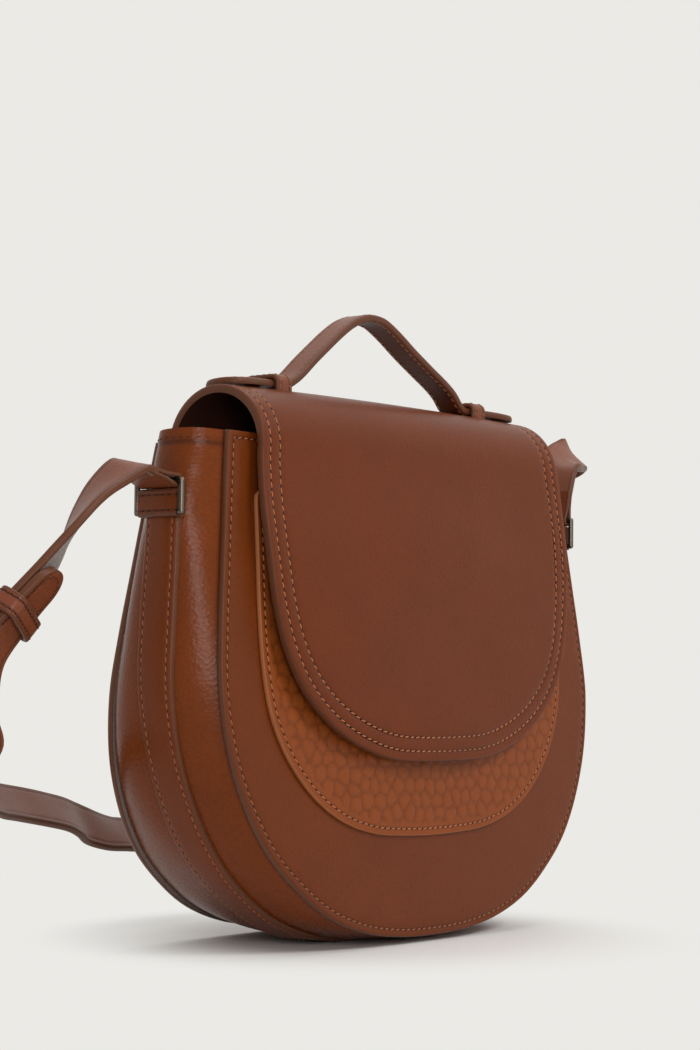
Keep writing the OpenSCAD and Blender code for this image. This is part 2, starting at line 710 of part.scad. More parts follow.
front_panel();
back_panel();
gusset();
gusset_band_left();
gusset_band_right();
front_board();
back_board();
base_board();
lining_front();
lining_back();
lining_gusset();
front_pocket();
body_magnet();
flap_rear_strip();
ring_tab_left();
ring_tab_right();
ring_left();
ring_right();
strap_end_left();
strap_end_right();
strap_short();
strap_fold();
strap_long();
buckle_frame();
buckle_prong();
strap_keeper();
flap_arch();
flap_arch_lining();
handle_loop_left();
handle_loop_right();
handle_crown();
handle_leg_left();
handle_leg_right();
handle_tab_left();
handle_tab_right();
flap_face();
flap_face_lining();
flap_magnet();
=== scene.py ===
# %% [markdown]
# # A saddle handbag in soft leather
# The real bag is cut leather: two round panels, a swollen gusset between them, a patch pocket, a flap
# that turns over the top in an arch, a short handle and a long shoulder strap. The solids with the
# exact sizes come in as a fixed frame. Each visible piece is made again here in leather, with its
# folds, painted edges, grain and stitches.

# %% Load the frame
import math
import bpy
import numpy as np
from mathutils import Matrix, Vector
from mathutils.geometry import delaunay_2d_cdt


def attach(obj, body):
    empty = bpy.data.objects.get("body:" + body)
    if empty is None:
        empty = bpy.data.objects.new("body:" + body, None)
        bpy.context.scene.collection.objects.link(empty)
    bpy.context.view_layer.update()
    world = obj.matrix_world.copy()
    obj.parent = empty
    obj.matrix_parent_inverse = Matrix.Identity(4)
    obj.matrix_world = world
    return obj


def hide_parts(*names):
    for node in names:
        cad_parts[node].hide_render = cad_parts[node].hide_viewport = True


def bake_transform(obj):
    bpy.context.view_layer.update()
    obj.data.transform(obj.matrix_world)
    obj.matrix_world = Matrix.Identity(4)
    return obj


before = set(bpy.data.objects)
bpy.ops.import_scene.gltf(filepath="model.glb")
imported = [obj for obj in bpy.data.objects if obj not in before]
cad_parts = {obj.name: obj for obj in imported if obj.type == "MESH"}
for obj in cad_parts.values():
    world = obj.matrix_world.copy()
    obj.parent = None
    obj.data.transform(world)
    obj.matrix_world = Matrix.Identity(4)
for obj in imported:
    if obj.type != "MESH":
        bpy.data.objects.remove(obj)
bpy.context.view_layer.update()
MM = 0.001

# %% [markdown]
# ## Camera
# The picture is taken from the bag's left front, a little above the floor, with a long lens. The
# place and the direction were found by matching points on the bag's outlines, so the numbers below
# are one solved camera, not a guess. A camera looks along its own -Z axis, so its matrix holds the
# right, up and backward directions.

# %% Camera
camera_at = Vector((-0.70267744, -0.54978055, 0.09262463))
camera_forward = Vector((0.77962047, 0.62285868, 0.06510756))
camera_right = Vector((0.6237123, -0.78160488, 0.00876255))
camera_up = Vector((-0.05634622, -0.03377692, 0.99783978))
camera_data = bpy.data.cameras.new("camera")
camera_data.sensor_width = 36
camera_data.lens = 82.72
camera = bpy.data.objects.new("camera", camera_data)
turn = Matrix((camera_right, camera_up, -camera_forward)).transposed()
camera.matrix_world = Matrix.Translation(camera_at) @ turn.to_4x4()
bpy.context.scene.collection.objects.link(camera)
bpy.context.scene.camera = camera
bpy.context.scene.view_settings.view_transform = "Standard"
print("camera lens", camera_data.lens, "mm")

# %% [markdown]
# ## Floor, background and light
# A studio photograph has one even pale paper that runs from the floor up behind the bag. Near the bag
# the floor is a plain matt surface that takes the bag's shadow. Further out it turns into the exact
# background colour, which only the camera and the reflections see, so it throws no light on the bag.
# Three soft lamps light it: the main one high in front on the right, a wide one above, and a weaker
# one low on the left near the camera. The world fills the shadows.

# %% Colours and shader helpers
def linear(colour):
    """Colour as written in a paint program, 0 to 255, as Blender's linear values."""
    share = [c / 255 for c in colour]
    return [c / 12.92 if c <= 0.04045 else ((c + 0.055) / 1.055) ** 2.4 for c in share] + [1.0]


def add(tree, kind, links=(), **values):
    """Adds a node, sets its properties or sockets by name, and links sockets into it."""
    made = tree.nodes.new("ShaderNode" + kind)
    for name, value in values.items():
        if hasattr(made, name) and name not in made.inputs:
            setattr(made, name, value)
        else:
            made.inputs[name.replace("_", " ")].default_value = value
    for name, socket in dict(links).items():
        tree.links.new(socket, made.inputs[name])
    return made


def maths(tree, operation, a, b=None, clamp=False):
    """A Math node; each side is a socket or a number."""
    made = tree.nodes.new("ShaderNodeMath")
    made.operation = operation
    made.use_clamp = clamp
    for i, side in enumerate((a, b)):
        if hasattr(side, "is_linked"):
            tree.links.new(side, made.inputs[i])
        elif side is not None:
            made.inputs[i].default_value = side
    return made.outputs[0]


def new_material(name):
    """Empty material with its node tree and its output node."""
    material = bpy.data.materials.new(name)
    material.use_nodes = True
    tree = material.node_tree
    tree.nodes.clear()
    return material, tree, add(tree, "OutputMaterial")


backdrop_colour = linear((235, 234, 230))

# %% Floor and world
floor_mesh = bpy.data.meshes.new("floor")
floor_mesh.from_pydata([(-4, -4, 0), (4, -4, 0), (4, 4, 0), (-4, 4, 0)], [], [(0, 1, 2, 3)])
floor = bpy.data.objects.new("floor", floor_mesh)
bpy.context.scene.collection.objects.link(floor)


def seen_directly(tree):
    """1 for the camera and for what shows in gloss and glass, 0 for light."""
    path = add(tree, "LightPath")
    seen = maths(tree, "MAXIMUM", path.outputs["Is Camera Ray"], path.outputs["Is Glossy Ray"])
    return maths(tree, "MAXIMUM", seen, path.outputs["Is Transmission Ray"])


floor_paper, tree, out = new_material("floor_paper")
spot = add(tree, "TexCoord").outputs["Object"]
far = add(tree, "VectorMath", {0: spot}, operation="LENGTH").outputs["Value"]
fade = add(tree, "MapRange", {"Value": far}, interpolation_type="SMOOTHSTEP", From_Min=0.05, From_Max=0.13)
paper = add(tree, "BsdfDiffuse", Color=linear((240, 239, 236)))
glow = add(tree, "Emission", Color=backdrop_colour, Strength=1.0)
share = maths(tree, "MULTIPLY", fade.outputs["Result"], seen_directly(tree))
mixed = add(tree, "MixShader", {0: share, 1: paper.outputs[0], 2: glow.outputs[0]})
tree.links.new(mixed.outputs[0], out.inputs["Surface"])
floor_mesh.materials.append(floor_paper)

world = bpy.data.worlds.new("studio")
bpy.context.scene.world = world
world.use_nodes = True
tree = world.node_tree
tree.nodes.clear()
out = add(tree, "OutputWorld")
seen = add(tree, "Background", Color=backdrop_colour, Strength=1.0)
fill = add(tree, "Background", Color=(1.0, 0.985, 0.96, 1.0), Strength=0.36)
mixed = add(tree, "MixShader", {0: seen_directly(tree), 1: fill.outputs[0], 2: seen.outputs[0]})
tree.links.new(mixed.outputs[0], out.inputs["Surface"])

# %% Lamps
def lamp(name, at, aim, size, watts):
    """A square soft lamp that faces a point."""
    data = bpy.data.lights.new(name, "AREA")
    data.size = size
    data.energy = watts
    made = bpy.data.objects.new(name, data)
    made.location = at
    made.rotation_euler = (Vector(aim) - Vector(at)).to_track_quat("-Z", "Y").to_euler()
    bpy.context.scene.collection.objects.link(made)


lamp("key_lamp", (0.25, -1.35, 1.35), (0, 0, 0.1), 0.6, 13.5)
lamp("top_lamp", (0.3, 0.1, 1.7), (0, 0, 0.1), 1.4, 9.0)
lamp("side_lamp", (-1.2, -1.1, 0.45), (0, 0, 0.1), 0.5, 7.2)

# %% [markdown]
# ## Leather, edge paint, suede and thread
# The bag is one kind of calf leather with a fine pebbled grain, and the embossed pocket is a shade
# lighter. A grain is small rounded cells with creases between them, so a Voronoi texture drives the
# bump, and slow noise makes the colour uneven as dyed leather is. The creases between the cells and
# the grooves pressed in by stitches, seams and folds are painted darker, as painted shade. Cut edges
# carry a thick brown paint.
# Every texture is laid out on a place that is stored on the mesh, in metres, so it keeps its real
# scale and goes with the leather when a pose bends it.

# %% Finishes
def shade(colour, share):
    """A colour made lighter or darker, as linear values."""
    return [min(1, c * share) for c in linear(colour)[:3]] + [1.0]


def leather(name, colour, cell=0.9, relief=0.1, rough=0.42, uneven=0.06, crease=0.0, glossy=0.17):
    """Leather of a colour, with grain cells of a size in mm and a relief in mm."""
    material, tree, out = new_material(name)
    place = add(tree, "Attribute", attribute_name="cut_place").outputs["Vector"]
    groove_and_shade = add(tree, "Attribute", attribute_name="groove_and_shade").outputs["Fac"]
    slow = add(tree, "TexNoise", {"Vector": place}, Scale=38.0, Detail=3.0, Roughness=0.6)
    pores = add(tree, "TexNoise", {"Vector": place}, Scale=900.0, Detail=2.0)
    cells = add(tree, "TexVoronoi", {"Vector": place}, feature="F1", Scale=1000.0 / cell, Randomness=0.9)
    lines = add(tree, "TexNoise", {"Vector": place}, Scale=210.0, Detail=4.0, Roughness=0.7, Distortion=1.2)
    spread = add(tree, "MapRange", {"Value": slow.outputs["Fac"]}, From_Min=0.3, From_Max=0.7)
    dyed = add(tree, "Mix", {0: spread.outputs["Result"]}, data_type="RGBA")
    dyed.inputs[6].default_value = shade(colour, 1 - uneven)
    dyed.inputs[7].default_value = shade(colour, 1 + uneven)
    # Painted shade: the colour darkens in the creases between grain cells and along the grooves stored on the
    # mesh.
    wear_and_grain_shade = maths(tree, "MULTIPLY", maths(tree, "SUBTRACT", cells.outputs["Distance"], 0.45), 0.35, clamp=True)
    deep = maths(tree, "MAXIMUM", maths(tree, "MULTIPLY", groove_and_shade, 0.75), wear_and_grain_shade)
    shaded = add(tree, "Mix", {0: deep, 6: dyed.outputs[2]}, data_type="RGBA")
    shaded.inputs[7].default_value = shade(colour, 0.22)
    grain = maths(tree, "MULTIPLY", maths(tree, "SUBTRACT", 1.0, cells.outputs["Distance"]), 0.8)
    grain = maths(tree, "ADD", grain, maths(tree, "MULTIPLY", pores.outputs["Fac"], 0.35))
    grain = maths(tree, "ADD", grain, maths(tree, "MULTIPLY", lines.outputs["Fac"], 0.5 + crease))
    bump = add(tree, "Bump", {"Height": grain}, Strength=1.0, Distance=relief * MM)
    roughness = maths(tree, "ADD", maths(tree, "MULTIPLY", pores.outputs["Fac"], 0.16), rough - 0.08)
    skin = add(
        tree, "BsdfPrincipled",
        {"Base Color": shaded.outputs[2], "Roughness": roughness, "Normal": bump.outputs["Normal"]},
        Specular_IOR_Level=glossy,
    )
    tree.links.new(skin.outputs[0], out.inputs["Surface"])
    return material


def matt(name, colour, size=0.4, relief=0.05, rough=0.7, uneven=0.12, sheen=0.0, place="cut_place",
         stretch=None):
    """Plain finish with a fine uneven surface: edge paint, suede, thread, lining or board."""
    material, tree, out = new_material(name)
    if place:
        spot = add(tree, "Attribute", attribute_name=place).outputs["Vector"]
    else:
        spot = add(tree, "TexCoord").outputs["Object"]
    if stretch:
        spot = add(tree, "Mapping", {"Vector": spot}, Scale=stretch).outputs["Vector"]
    fine = add(tree, "TexNoise", {"Vector": spot}, Scale=1000.0 / size, Detail=3.0, Roughness=0.65)
    slow = add(tree, "TexNoise", {"Vector": spot}, Scale=90.0, Detail=2.0)
    both = maths(tree, "ADD", maths(tree, "MULTIPLY", fine.outputs["Fac"], 0.6),
                 maths(tree, "MULTIPLY", slow.outputs["Fac"], 0.4))
    tone = add(tree, "Mix", {0: both}, data_type="RGBA")
    tone.inputs[6].default_value = shade(colour, 1 - 2 * uneven)
    tone.inputs[7].default_value = shade(colour, 1 + 2 * uneven)
    bump = add(tree, "Bump", {"Height": fine.outputs["Fac"]}, Strength=1.0, Distance=relief * MM)
    skin = add(
        tree, "BsdfPrincipled", {"Base Color": tone.outputs[2], "Normal": bump.outputs["Normal"]},
        Roughness=rough, Sheen_Weight=sheen, Sheen_Roughness=0.5, Specular_IOR_Level=0.22,
    )
    tree.links.new(skin.outputs[0], out.inputs["Surface"])
    return material


flap_leather = leather("flap_leather", (101, 43, 9), cell=0.8, relief=0.06, rough=0.36)
body_leather = leather("body_leather", (104, 46, 10), cell=0.8, relief=0.06, rough=0.37)
gusset_leather = leather("gusset_leather", (110, 48, 5), cell=1.1, relief=0.09, rough=0.29, crease=0.4,
                         glossy=0.16)
band_leather = leather("band_leather", (106, 47, 12), cell=0.9, relief=0.07, rough=0.36, glossy=0.2)
pocket_leather = leather("pocket_leather", (133, 65, 24), cell=0.7, relief=0.05, rough=0.4)
strap_leather = leather("strap_leather", (118, 60, 34), cell=0.9, relief=0.06, rough=0.38, crease=0.3,
                        glossy=0.3)
handle_leather = leather("handle_leather", (118, 60, 34), cell=0.9, relief=0.06, rough=0.38, glossy=0.3)
# The handle's underside is a darker copy of the handle leather: painted shade.
handle_under = leather("handle_under", (74, 32, 14), cell=0.9, relief=0.08, rough=0.45, glossy=0.12)
edge_paint = matt("edge_paint", (94, 54, 34), size=1.2, relief=0.03, rough=0.4)
raw_edge = matt("raw_edge", (158, 98, 62), size=0.35, relief=0.06, rough=0.75)
suede = matt("suede", (128, 112, 106), size=0.22, relief=0.12, rough=0.95, sheen=0.25)
inner_leather = matt("inner_leather", (52, 24, 13), size=0.5, relief=0.08, rough=0.65)
cotton = matt("cotton_lining", (52, 42, 36), size=0.5, relief=0.1, rough=0.9, stretch=(1.0, 1.0, 0.25))
thread = matt("thread", (146, 90, 60), size=0.25, relief=0.06, rough=0.6)
light_thread = matt("light_thread", (170, 106, 68), size=0.25, relief=0.06, rough=0.6)
dark_thread = matt("dark_thread", (84, 40, 20), size=0.25, relief=0.06, rough=0.6)
# Needle holes get a dark colour that stands for the shade inside them: painted shade.
needle_hole_shade = matt("needle_hole_shade", (34, 17, 11), size=0.3, relief=0.02, rough=0.9)
print("finishes", len(bpy.data.materials))

# %% [markdown]
# ## From numbers to a piece
# Leather has a thickness, and its shape is easiest to say in numbers: where its middle line runs, how
# wide and how thick it is. So every piece is made of points and faces, as one closed skin, and
# sharp corners are marked by their angle. Each piece is then told which body of the frame it rides on.

# %% Making a piece
def grow(points, count):
    """Smooth curve through given points, with count steps from each point to the next."""
    p = np.asarray(points, float)
    p = np.vstack([2 * p[0] - p[1], p, 2 * p[-1] - p[-2]])
    made = []
    for i in range(1, len(p) - 2):
        a, b, c, d = p[i - 1], p[i], p[i + 1], p[i + 2]
        for t in np.arange(count) / count:
            made.append((2 * b + (c - a) * t + (2 * a - 5 * b + 4 * c - d) * t**2
                         + (3 * b - a - 3 * c + d) * t**3) / 2)
    return np.array(made + [p[-2]])


def unit(v):
    """Directions of length 1."""
    return v / np.maximum(np.linalg.norm(v, axis=-1, keepdims=True), 1e-12)


def steps_along(line):
    """How far each point of a line is from its start."""
    return np.concatenate([[0], np.cumsum(np.linalg.norm(np.diff(line, axis=0), axis=1))])


def sampled(rows, steps, at):
    """Rows of numbers that belong to steps, read at other steps."""
    return np.stack([np.interp(at, steps, column) for column in rows.T], -1)


def make_piece(name, points, faces, materials, which, body, places, groove_and_shade=None, sharp=50):
    """Blender object from points in mm; places are where each point lies in the cut leather."""
    mesh = bpy.data.meshes.new(name)
    mesh.from_pydata((points * MM).tolist(), [], faces)
    for material in materials:
        mesh.materials.append(material)
    mesh.polygons.foreach_set("material_index", np.asarray(which, np.int32))
    mesh.polygons.foreach_set("use_smooth", np.ones(len(faces), bool))
    place = mesh.attributes.new("cut_place", "FLOAT_VECTOR", "POINT")
    place.data.foreach_set("vector", (places * MM).ravel())
    # Groove marks are stored on the mesh so that the leather paints shade along them.
    if groove_and_shade is not None:
        depth = mesh.attributes.new("groove_and_shade", "FLOAT", "POINT")
        depth.data.foreach_set("value", groove_and_shade)
    mesh.update()
    mesh.set_sharp_from_angle(angle=math.radians(sharp))
    made = bpy.data.objects.new(name, mesh)
    bpy.context.scene.collection.objects.link(made)
    if body:
        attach(made, body)
    return made


def joined(parts):
    """Several lists of points, faces, materials, places and groove shades as one."""
    points, faces, which, places, groove_and_shade = [], [], [], [], []
    count = 0
    for p in parts:
        points.append(np.asarray(p[0], float))
        faces += [[int(k) + count for k in f] for f in p[1]]
        which += list(p[2])
        places.append(np.asarray(p[0] if p[3] is None else p[3], float))
        groove_and_shade.append(np.zeros(len(p[0])) if p[4] is None else np.asarray(p[4], float))
        count += len(p[0])
    return np.vstack(points), faces, which, np.vstack(places), np.concatenate(groove_and_shade)

# %% [markdown]
# ## Strips: strap, handle, loops and keeper
# A strip is a section pushed along a line, as leather lace is pulled through a slot. The section is a
# flat bar with round painted edges and a shallow crease pressed along each side. At every step the
# section needs its own directions: along, across, and out of the face. The direction across is given
# at each point of the line, because that is how a strap twists.

# %% Section and strip
def strip_section(width, thick, crease=2.2, depth=0.16, corner=0.9, columns=6):
    """Closed outline of a strip's section: across, out, which side, and crease share, painted as shade, per
    point.
    """
    corner = min(corner, thick / 2)
    half, up = width / 2, thick / 2
    arc = [(half - corner, -up + corner, -90), (half - corner, up - corner, 0),
           (-half + corner, up - corner, 90), (-half + corner, -up + corner, 180)]
    flat = list(np.linspace(half - corner - 0.3, -half + corner + 0.3, columns + 1))
    line = half - crease
    if crease:
        flat += [s * line + k for s in (-1, 1) for k in (-0.45, 0, 0.45)]
    flat = sorted(set(round(f, 4) for f in flat), reverse=True)
    points = []
    for i, (cx, cy, start) in enumerate(arc):
        for step in range(5):
            angle = math.radians(start + 22.5 * step)
            if i in (1, 3) and step == 0 and up - corner < 1e-6:
                continue
            points.append((cx + corner * math.cos(angle), cy + corner * math.sin(angle), 1, 0.0))
        if i == 1:
            points += [(f, up - depth * pressed(f, line, crease), 0, pressed(f, line, crease)) for f in flat]
        if i == 3:
            points += [(f, -up, 2, 0.0) for f in reversed(flat)]
    return np.array(points)


def pressed(across, line, crease):
    """1 in the middle of the crease and 0 away from it."""
    return math.exp(-(((abs(across) - line) / 0.3) ** 2)) if crease else 0.0


def directions(centres, widths, closed=False):
    """Directions along, across and out of the face at each point of a line."""
    if closed:
        along = unit(np.roll(centres, -1, 0) - np.roll(centres, 1, 0))
    else:
        along = unit(np.gradient(centres, axis=0))
    out = unit(np.cross(along, widths))
    return along, unit(np.cross(out, along)), out


def strip(centres, across, out, section, shares=None, closed=False):
    """Points, faces, sides, places and groove shades of a section pushed along a line."""
    rings, size = len(centres), len(section)
    shares = np.ones(rings) if shares is None else np.asarray(shares)
    a = section[:, 0][None, :] * shares[:, None]
    points = centres[:, None] + across[:, None] * a[..., None] + out[:, None] * section[:, 1][None, :, None]
    places = np.stack([np.broadcast_to(steps_along(centres)[:, None], a.shape), a,
                       np.broadcast_to(section[:, 1], a.shape)], -1)
    faces, which = [], []
    for i in range(rings if closed else rings - 1):
        for j in range(size):
            k, m = (j + 1) % size, (i + 1) % rings
            faces.append((i * size + j, i * size + k, m * size + k, m * size + j))
            side = {section[j][2], section[k][2]}
            which.append(int(section[j][2]) if len(side) == 1 else 1)
    if not closed:
        faces += [list(range(size))[::-1], [(rings - 1) * size + j for j in range(size)]]
        which += [1, 1]
    # The crease share of each section point is kept as painted shade in the crease.
    return (points.reshape(-1, 3), faces, which, places.reshape(-1, 3), np.tile(section[:, 3], rings))

# %% [markdown]
# ## Stitches
# A sewing machine leaves short slanted stitches that sink into the leather at both ends, with a
# needle hole between two of them that is dark with shade. A painted line can't catch the light like
# that, so each stitch is a small thread with round ends, laid along the row and pressed in a little.
# Each hole is a small tube in a dark colour, which is painted shade.

# %% Stitch rows
corners = 6
thread_shape = [(0.0, 0.35, -0.22), (0.14, 0.85, 0.08), (0.5, 1.0, 0.17), (0.86, 0.85, 0.08),
                (1.0, 0.35, -0.22)]
hole_shape = [(-0.15, 0.42), (0.05, 0.36)]
ring_angles = [math.pi / 3 * corner for corner in range(corners)]


def tube_faces(first, rings):
    """Faces of a closed tube whose points go round ring after ring."""
    last = first + corners * (rings - 1)
    made = [(base + c, base + (c + 1) % corners, base + corners + (c + 1) % corners, base + corners + c)
            for base in range(first, last, corners) for c in range(corners)]
    return made + [[first + c for c in range(corners)][::-1], [last + c for c in range(corners)]]


def stitch_row(path, normals, pitch=3.1, length=2.2, wide=0.55, sink=0.05, closed=False):
    """Threads and holes along a row: points, faces and which material."""
    path, normals = np.asarray(path, float), np.asarray(normals, float)
    if closed:
        path, normals = np.vstack([path, path[:1]]), np.vstack([normals, normals[:1]])
    steps = steps_along(path)
    count = max(1, int(round(steps[-1] / pitch)))
    pitch = steps[-1] / count

    def at(s, rows):
        return sampled(rows, steps, s)

    points, faces, which = [], [], []
    for i in range(count):
        begin = (i + 0.5) * pitch - length / 2
        s = np.array([begin + length * row[0] for row in thread_shape])
        middle, normal = at(s, path), unit(at(s, normals))
        along = unit(at(s + 0.2, path) - at(s - 0.2, path))
        if np.linalg.norm(along, axis=1).min() < 0.5:
            continue
        side = np.cross(normal, along)
        first = len(points)
        for k, (share, round_share, lift) in enumerate(thread_shape):
            slant = (share - 0.5) * 0.3
            for angle in ring_angles:
                points.append(middle[k] + side[k] * (slant + wide / 2 * round_share * math.cos(angle))
                              + normal[k] * (lift - sink + wide / 2 * round_share * 0.75 * math.sin(angle)))
        faces += tube_faces(first, len(thread_shape))
        which += [0] * (len(faces) - len(which))
        # Each needle hole is a small dark tube, painted shade inside the hole.
        hole_at = np.array([i * pitch])
        hole, hole_normal = at(hole_at, path)[0], unit(at(hole_at, normals))[0]
        hole_along = unit(at(hole_at + 0.3, path) - at(hole_at - 0.3, path))[0]
        hole_side = np.cross(hole_normal, hole_along)
        first = len(points)
        for lift, radius in hole_shape:
            for angle in ring_angles:
                points.append(hole + hole_normal * (lift - sink) + hole_along * radius * math.cos(angle)
                              + hole_side * radius * math.sin(angle))
        faces += tube_faces(first, len(hole_shape))
        which += [1] * (len(faces) - len(which))
    return np.array(points), faces, which, None, None


def sew(name, rows, body, materials=None):
    """One piece with all the stitches of some rows."""
    points, faces, which, places, groove_and_shade = joined(rows)
    made = make_piece(name, points, faces, materials or [thread, needle_hole_shade], which, body, places)
    print(name, len(points) // (corners * len(thread_shape + hole_shape)), "stitches")
    return made

# %% [markdown]
# ## The shoulder strap
# The bag has one long strap: it leaves the left ring, arches over and twists until its
# suede side shows, and is caught with its own tip in a keeper above a buckle. From the buckle it runs
# on round the back of the bag, lies there in one slack loop, and comes back to the right ring. A
# simulated ribbon would fall somewhere else each time the bag is changed, so the line is laid
# through points that were fitted to the picture.

# %% Measures of the strap
strap_wide, strap_thick, ply_thick, ply_gap = 17.6, 2.8, 1.4, 0.15
ring_x, ring_low, ring_high, ring_wire = 116.392, 148.5, 159.0, 2.0
buckle_at, buckle_long, buckle_wire = np.array([-183.0, 16.0, 72.0]), 17.0, 2.4
buckle_turn = math.radians(15)
short_line = [
    ((-131, 0, 163), (0, 1, 0.2)), ((-139, 2, 157), (0.15, 0.95, 0.1)), ((-147, 3, 149), (0.3, 0.95, -0.15)),
    ((-155, 4, 138), (0.45, 0.7, -0.3)), ((-163, 7, 126), (0.7, 0.6, -0.4)),
    ((-172, 11, 114), (0.8, 0.45, -0.4)), ((-180, 15, 102), (0.9, 0.35, -0.4)),
    ((-183, 16, 89), (1, 0.27, 0)), ((-183, 16, 80), (1, 0.27, 0)),
]
tip_line = [((-160, 2, 127), (0.75, 0.5, -0.4)), ((-165, 5, 121), (0.75, 0.5, -0.4))]
far_line = [
    ((-184, 22, 38), (1, 0.2, 0.1)), ((-181, 36, 31), (0.9, 0.2, 0.4)), ((-169, 55, 35), (0.5, 0.3, 0.8)),
    ((-149, 69, 45), (0.1, 0.5, 0.85)), ((-125, 77, 51), (-0.2, 0.7, 0.7)),
    ((-111, 82, 50), (-0.15, 0.7, 0.7)), ((-96, 86, 48), (-0.1, 0.7, 0.7)),
    ((-83, 88, 46), (-0.05, 0.7, 0.7)), ((-72, 90, 44), (0, 0.7, 0.7)), ((-64, 92, 42), (0.05, 0.65, 0.75)),
    ((-55, 95, 39), (0.1, 0.55, 0.8)), ((-44, 96, 36), (0.05, 0.6, 0.75)), ((-31, 98, 34), (0, 0.75, 0.65)),
    ((-17, 100, 32), (0, 0.75, 0.65)), ((20, 102, 20), (0, 0.4, 0.9)),
    ((55, 102, 12), (0, 0, 1)), ((86, 107, 10), (0, 0, 1)), ((106, 128, 10), (0, 0, 1)),
    ((98, 152, 11), (0, 0, 1)), ((72, 160, 16), (0, 0, 1)), ((52, 144, 24), (0, 0, 1)),
    ((56, 116, 33), (0, 0, 1)), ((82, 98, 38), (0, 0, 1)), ((114, 86, 46), (-0.2, 0.2, 1)),
    ((136, 68, 66), (-0.6, 0.5, 0.7)), ((145, 50, 98), (-0.6, 0.8, 0.3)), ((143, 38, 132), (-0.2, 1, 0.3)),
    ((138, 30, 158), (0.1, 1, 0.3)), ((142, 24, 174), (0.2, 0.8, 0.5)), ((147, 16, 184), (0.25, 0.75, 0.6)),
    ((144, 8, 188), (0.25, 0.75, 0.6)), ((133, 4, 186), (0.2, 0.75, 0.6)), ((124, 1, 181), (0.1, 0.95, 0.25)),
    ((119, 0, 173), (0, 1, 0)),
]


def face_out(line, i):
    """Direction out of the strap's face at a listed point."""
    along = np.subtract(line[min(i + 1, len(line) - 1)][0], line[max(i - 1, 0)][0])
    return unit(np.cross(along, line[i][1]))


def buckle_point(down, out):
    """Point down the strap from the buckle's upper bar, and out of the strap's face."""
    return buckle_at + [out * math.sin(buckle_turn), -out * math.cos(buckle_turn), -down]


under_bar = -(buckle_wire / 2 + strap_thick / 2 + 0.3)
over_bar = buckle_wire / 2 + 0.05 + strap_thick + 0.9
buckle_across = np.array([math.cos(buckle_turn), math.sin(buckle_turn), 0])
lower_line = [(np.array(p, float), w) for p, w in tip_line] + [
    (np.array(short_line[i][0]) + face_out(short_line, i) * (strap_thick + ply_gap), short_line[i][1])
    for i in range(5, len(short_line))
]
through_line = [
    (buckle_point(0, over_bar), buckle_across), (buckle_point(buckle_long / 2, 0), buckle_across),
    (buckle_point(buckle_long, under_bar), buckle_across),
    (buckle_point(1.5 * buckle_long, under_bar), buckle_across),
]
long_line = lower_line + through_line + far_line

# %% Strap from the left ring to the buckle
def strap_run(line, count=6):
    """Centres, across and out directions of a strap laid along given points."""
    centres = grow([p for p, w in line], count)
    widths = grow([w for p, w in line], count)
    along, across, out = directions(centres, widths)
    return centres, across, out


def turned_over(section):
    """The same section with its grain on the other face."""
    return (section * [1, -1, 1, 1])[::-1]


def turned_end(side, lean, long):
    """End of the strap folded round the upper bar of a ring, as one loop of a single ply."""
    lean = math.radians(lean)
    away = np.array([side * math.cos(lean), 0, math.sin(lean)])
    up = np.array([-side * math.sin(lean), 0, math.cos(lean)])
    bar = np.array([side * ring_x, 0, ring_high])
    radius = ring_wire / 2 + 0.05 + ply_thick / 2
    legs = ((long, 1), (long * 0.7, 1), (long * 0.45, 1.15))
    path = [bar + away * s + up * ply_thick / 2 * k for s, k in legs]
    for angle in np.linspace(70, 290, 12):
        a = math.radians(angle)
        path.append(bar + radius * (away * math.cos(a) + up * math.sin(a)))
    path += [bar + away * s - up * ply_thick / 2 * k for s, k in legs[::-1]]
    centres = np.array(path)
    along, across, out = directions(centres, np.tile([0.0, 1.0, 0.0], (len(path), 1)))
    return centres, across, out


def sew_up(name, parts, materials, body, sharp=50):
    """One piece from several parts, each given as points, faces, materials, places and groove shades."""
    points, faces, which, places, groove_and_shade = joined(parts)
    return make_piece(name, points, faces, materials, which, body, places, groove_and_shade, sharp)


strap_section = strip_section(strap_wide, strap_thick)
ply_section = strip_section(strap_wide, ply_thick, crease=0, corner=0.65)
strap_faces = [strap_leather, edge_paint, suede]
lined_faces = [strap_leather, edge_paint, strap_leather]
left_run = strap_run([((-126.5, 0, 161.4), (0, 1, 0.05))] + short_line[:-1]
                     + [((-183, 16, 75), (1, 0.27, 0))])
strap_left = sew_up(
    "strap_left", [strip(*left_run, turned_over(strap_section)), strip(*turned_end(-1, 12, 12), ply_section)],
    strap_faces, None,
)
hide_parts("strap_end_left", "strap_short", "strap_fold")
print("strap_left", len(strap_left.data.vertices), "points")

# %% [markdown]
# The other end of the strap starts at its rounded tip. A leather cutter makes that tip with a half
# round punch, so here the strip's width follows half a circle over the first millimetres. The tip is
# sewn round its edge, and the rest of the strap has only its pressed creases.

# %% Strap from the tip round the back to the right ring
half_strap = strap_wide / 2
main_run = strap_run(long_line[:-1] + [((118.3, 0, 169.2), (0, 1, 0))])
main_steps = steps_along(main_run[0])
round_steps = half_strap * (1 - np.cos(np.linspace(0.12, 1.5, 14)))
fine_steps = np.concatenate([round_steps, main_steps[main_steps > half_strap + 0.4]])


def resampled(run, old, new):
    """The same strap with its sections at other distances from the tip."""
    centres, across, out = (sampled(part, old, new) for part in run)
    return centres, unit(across), unit(out)


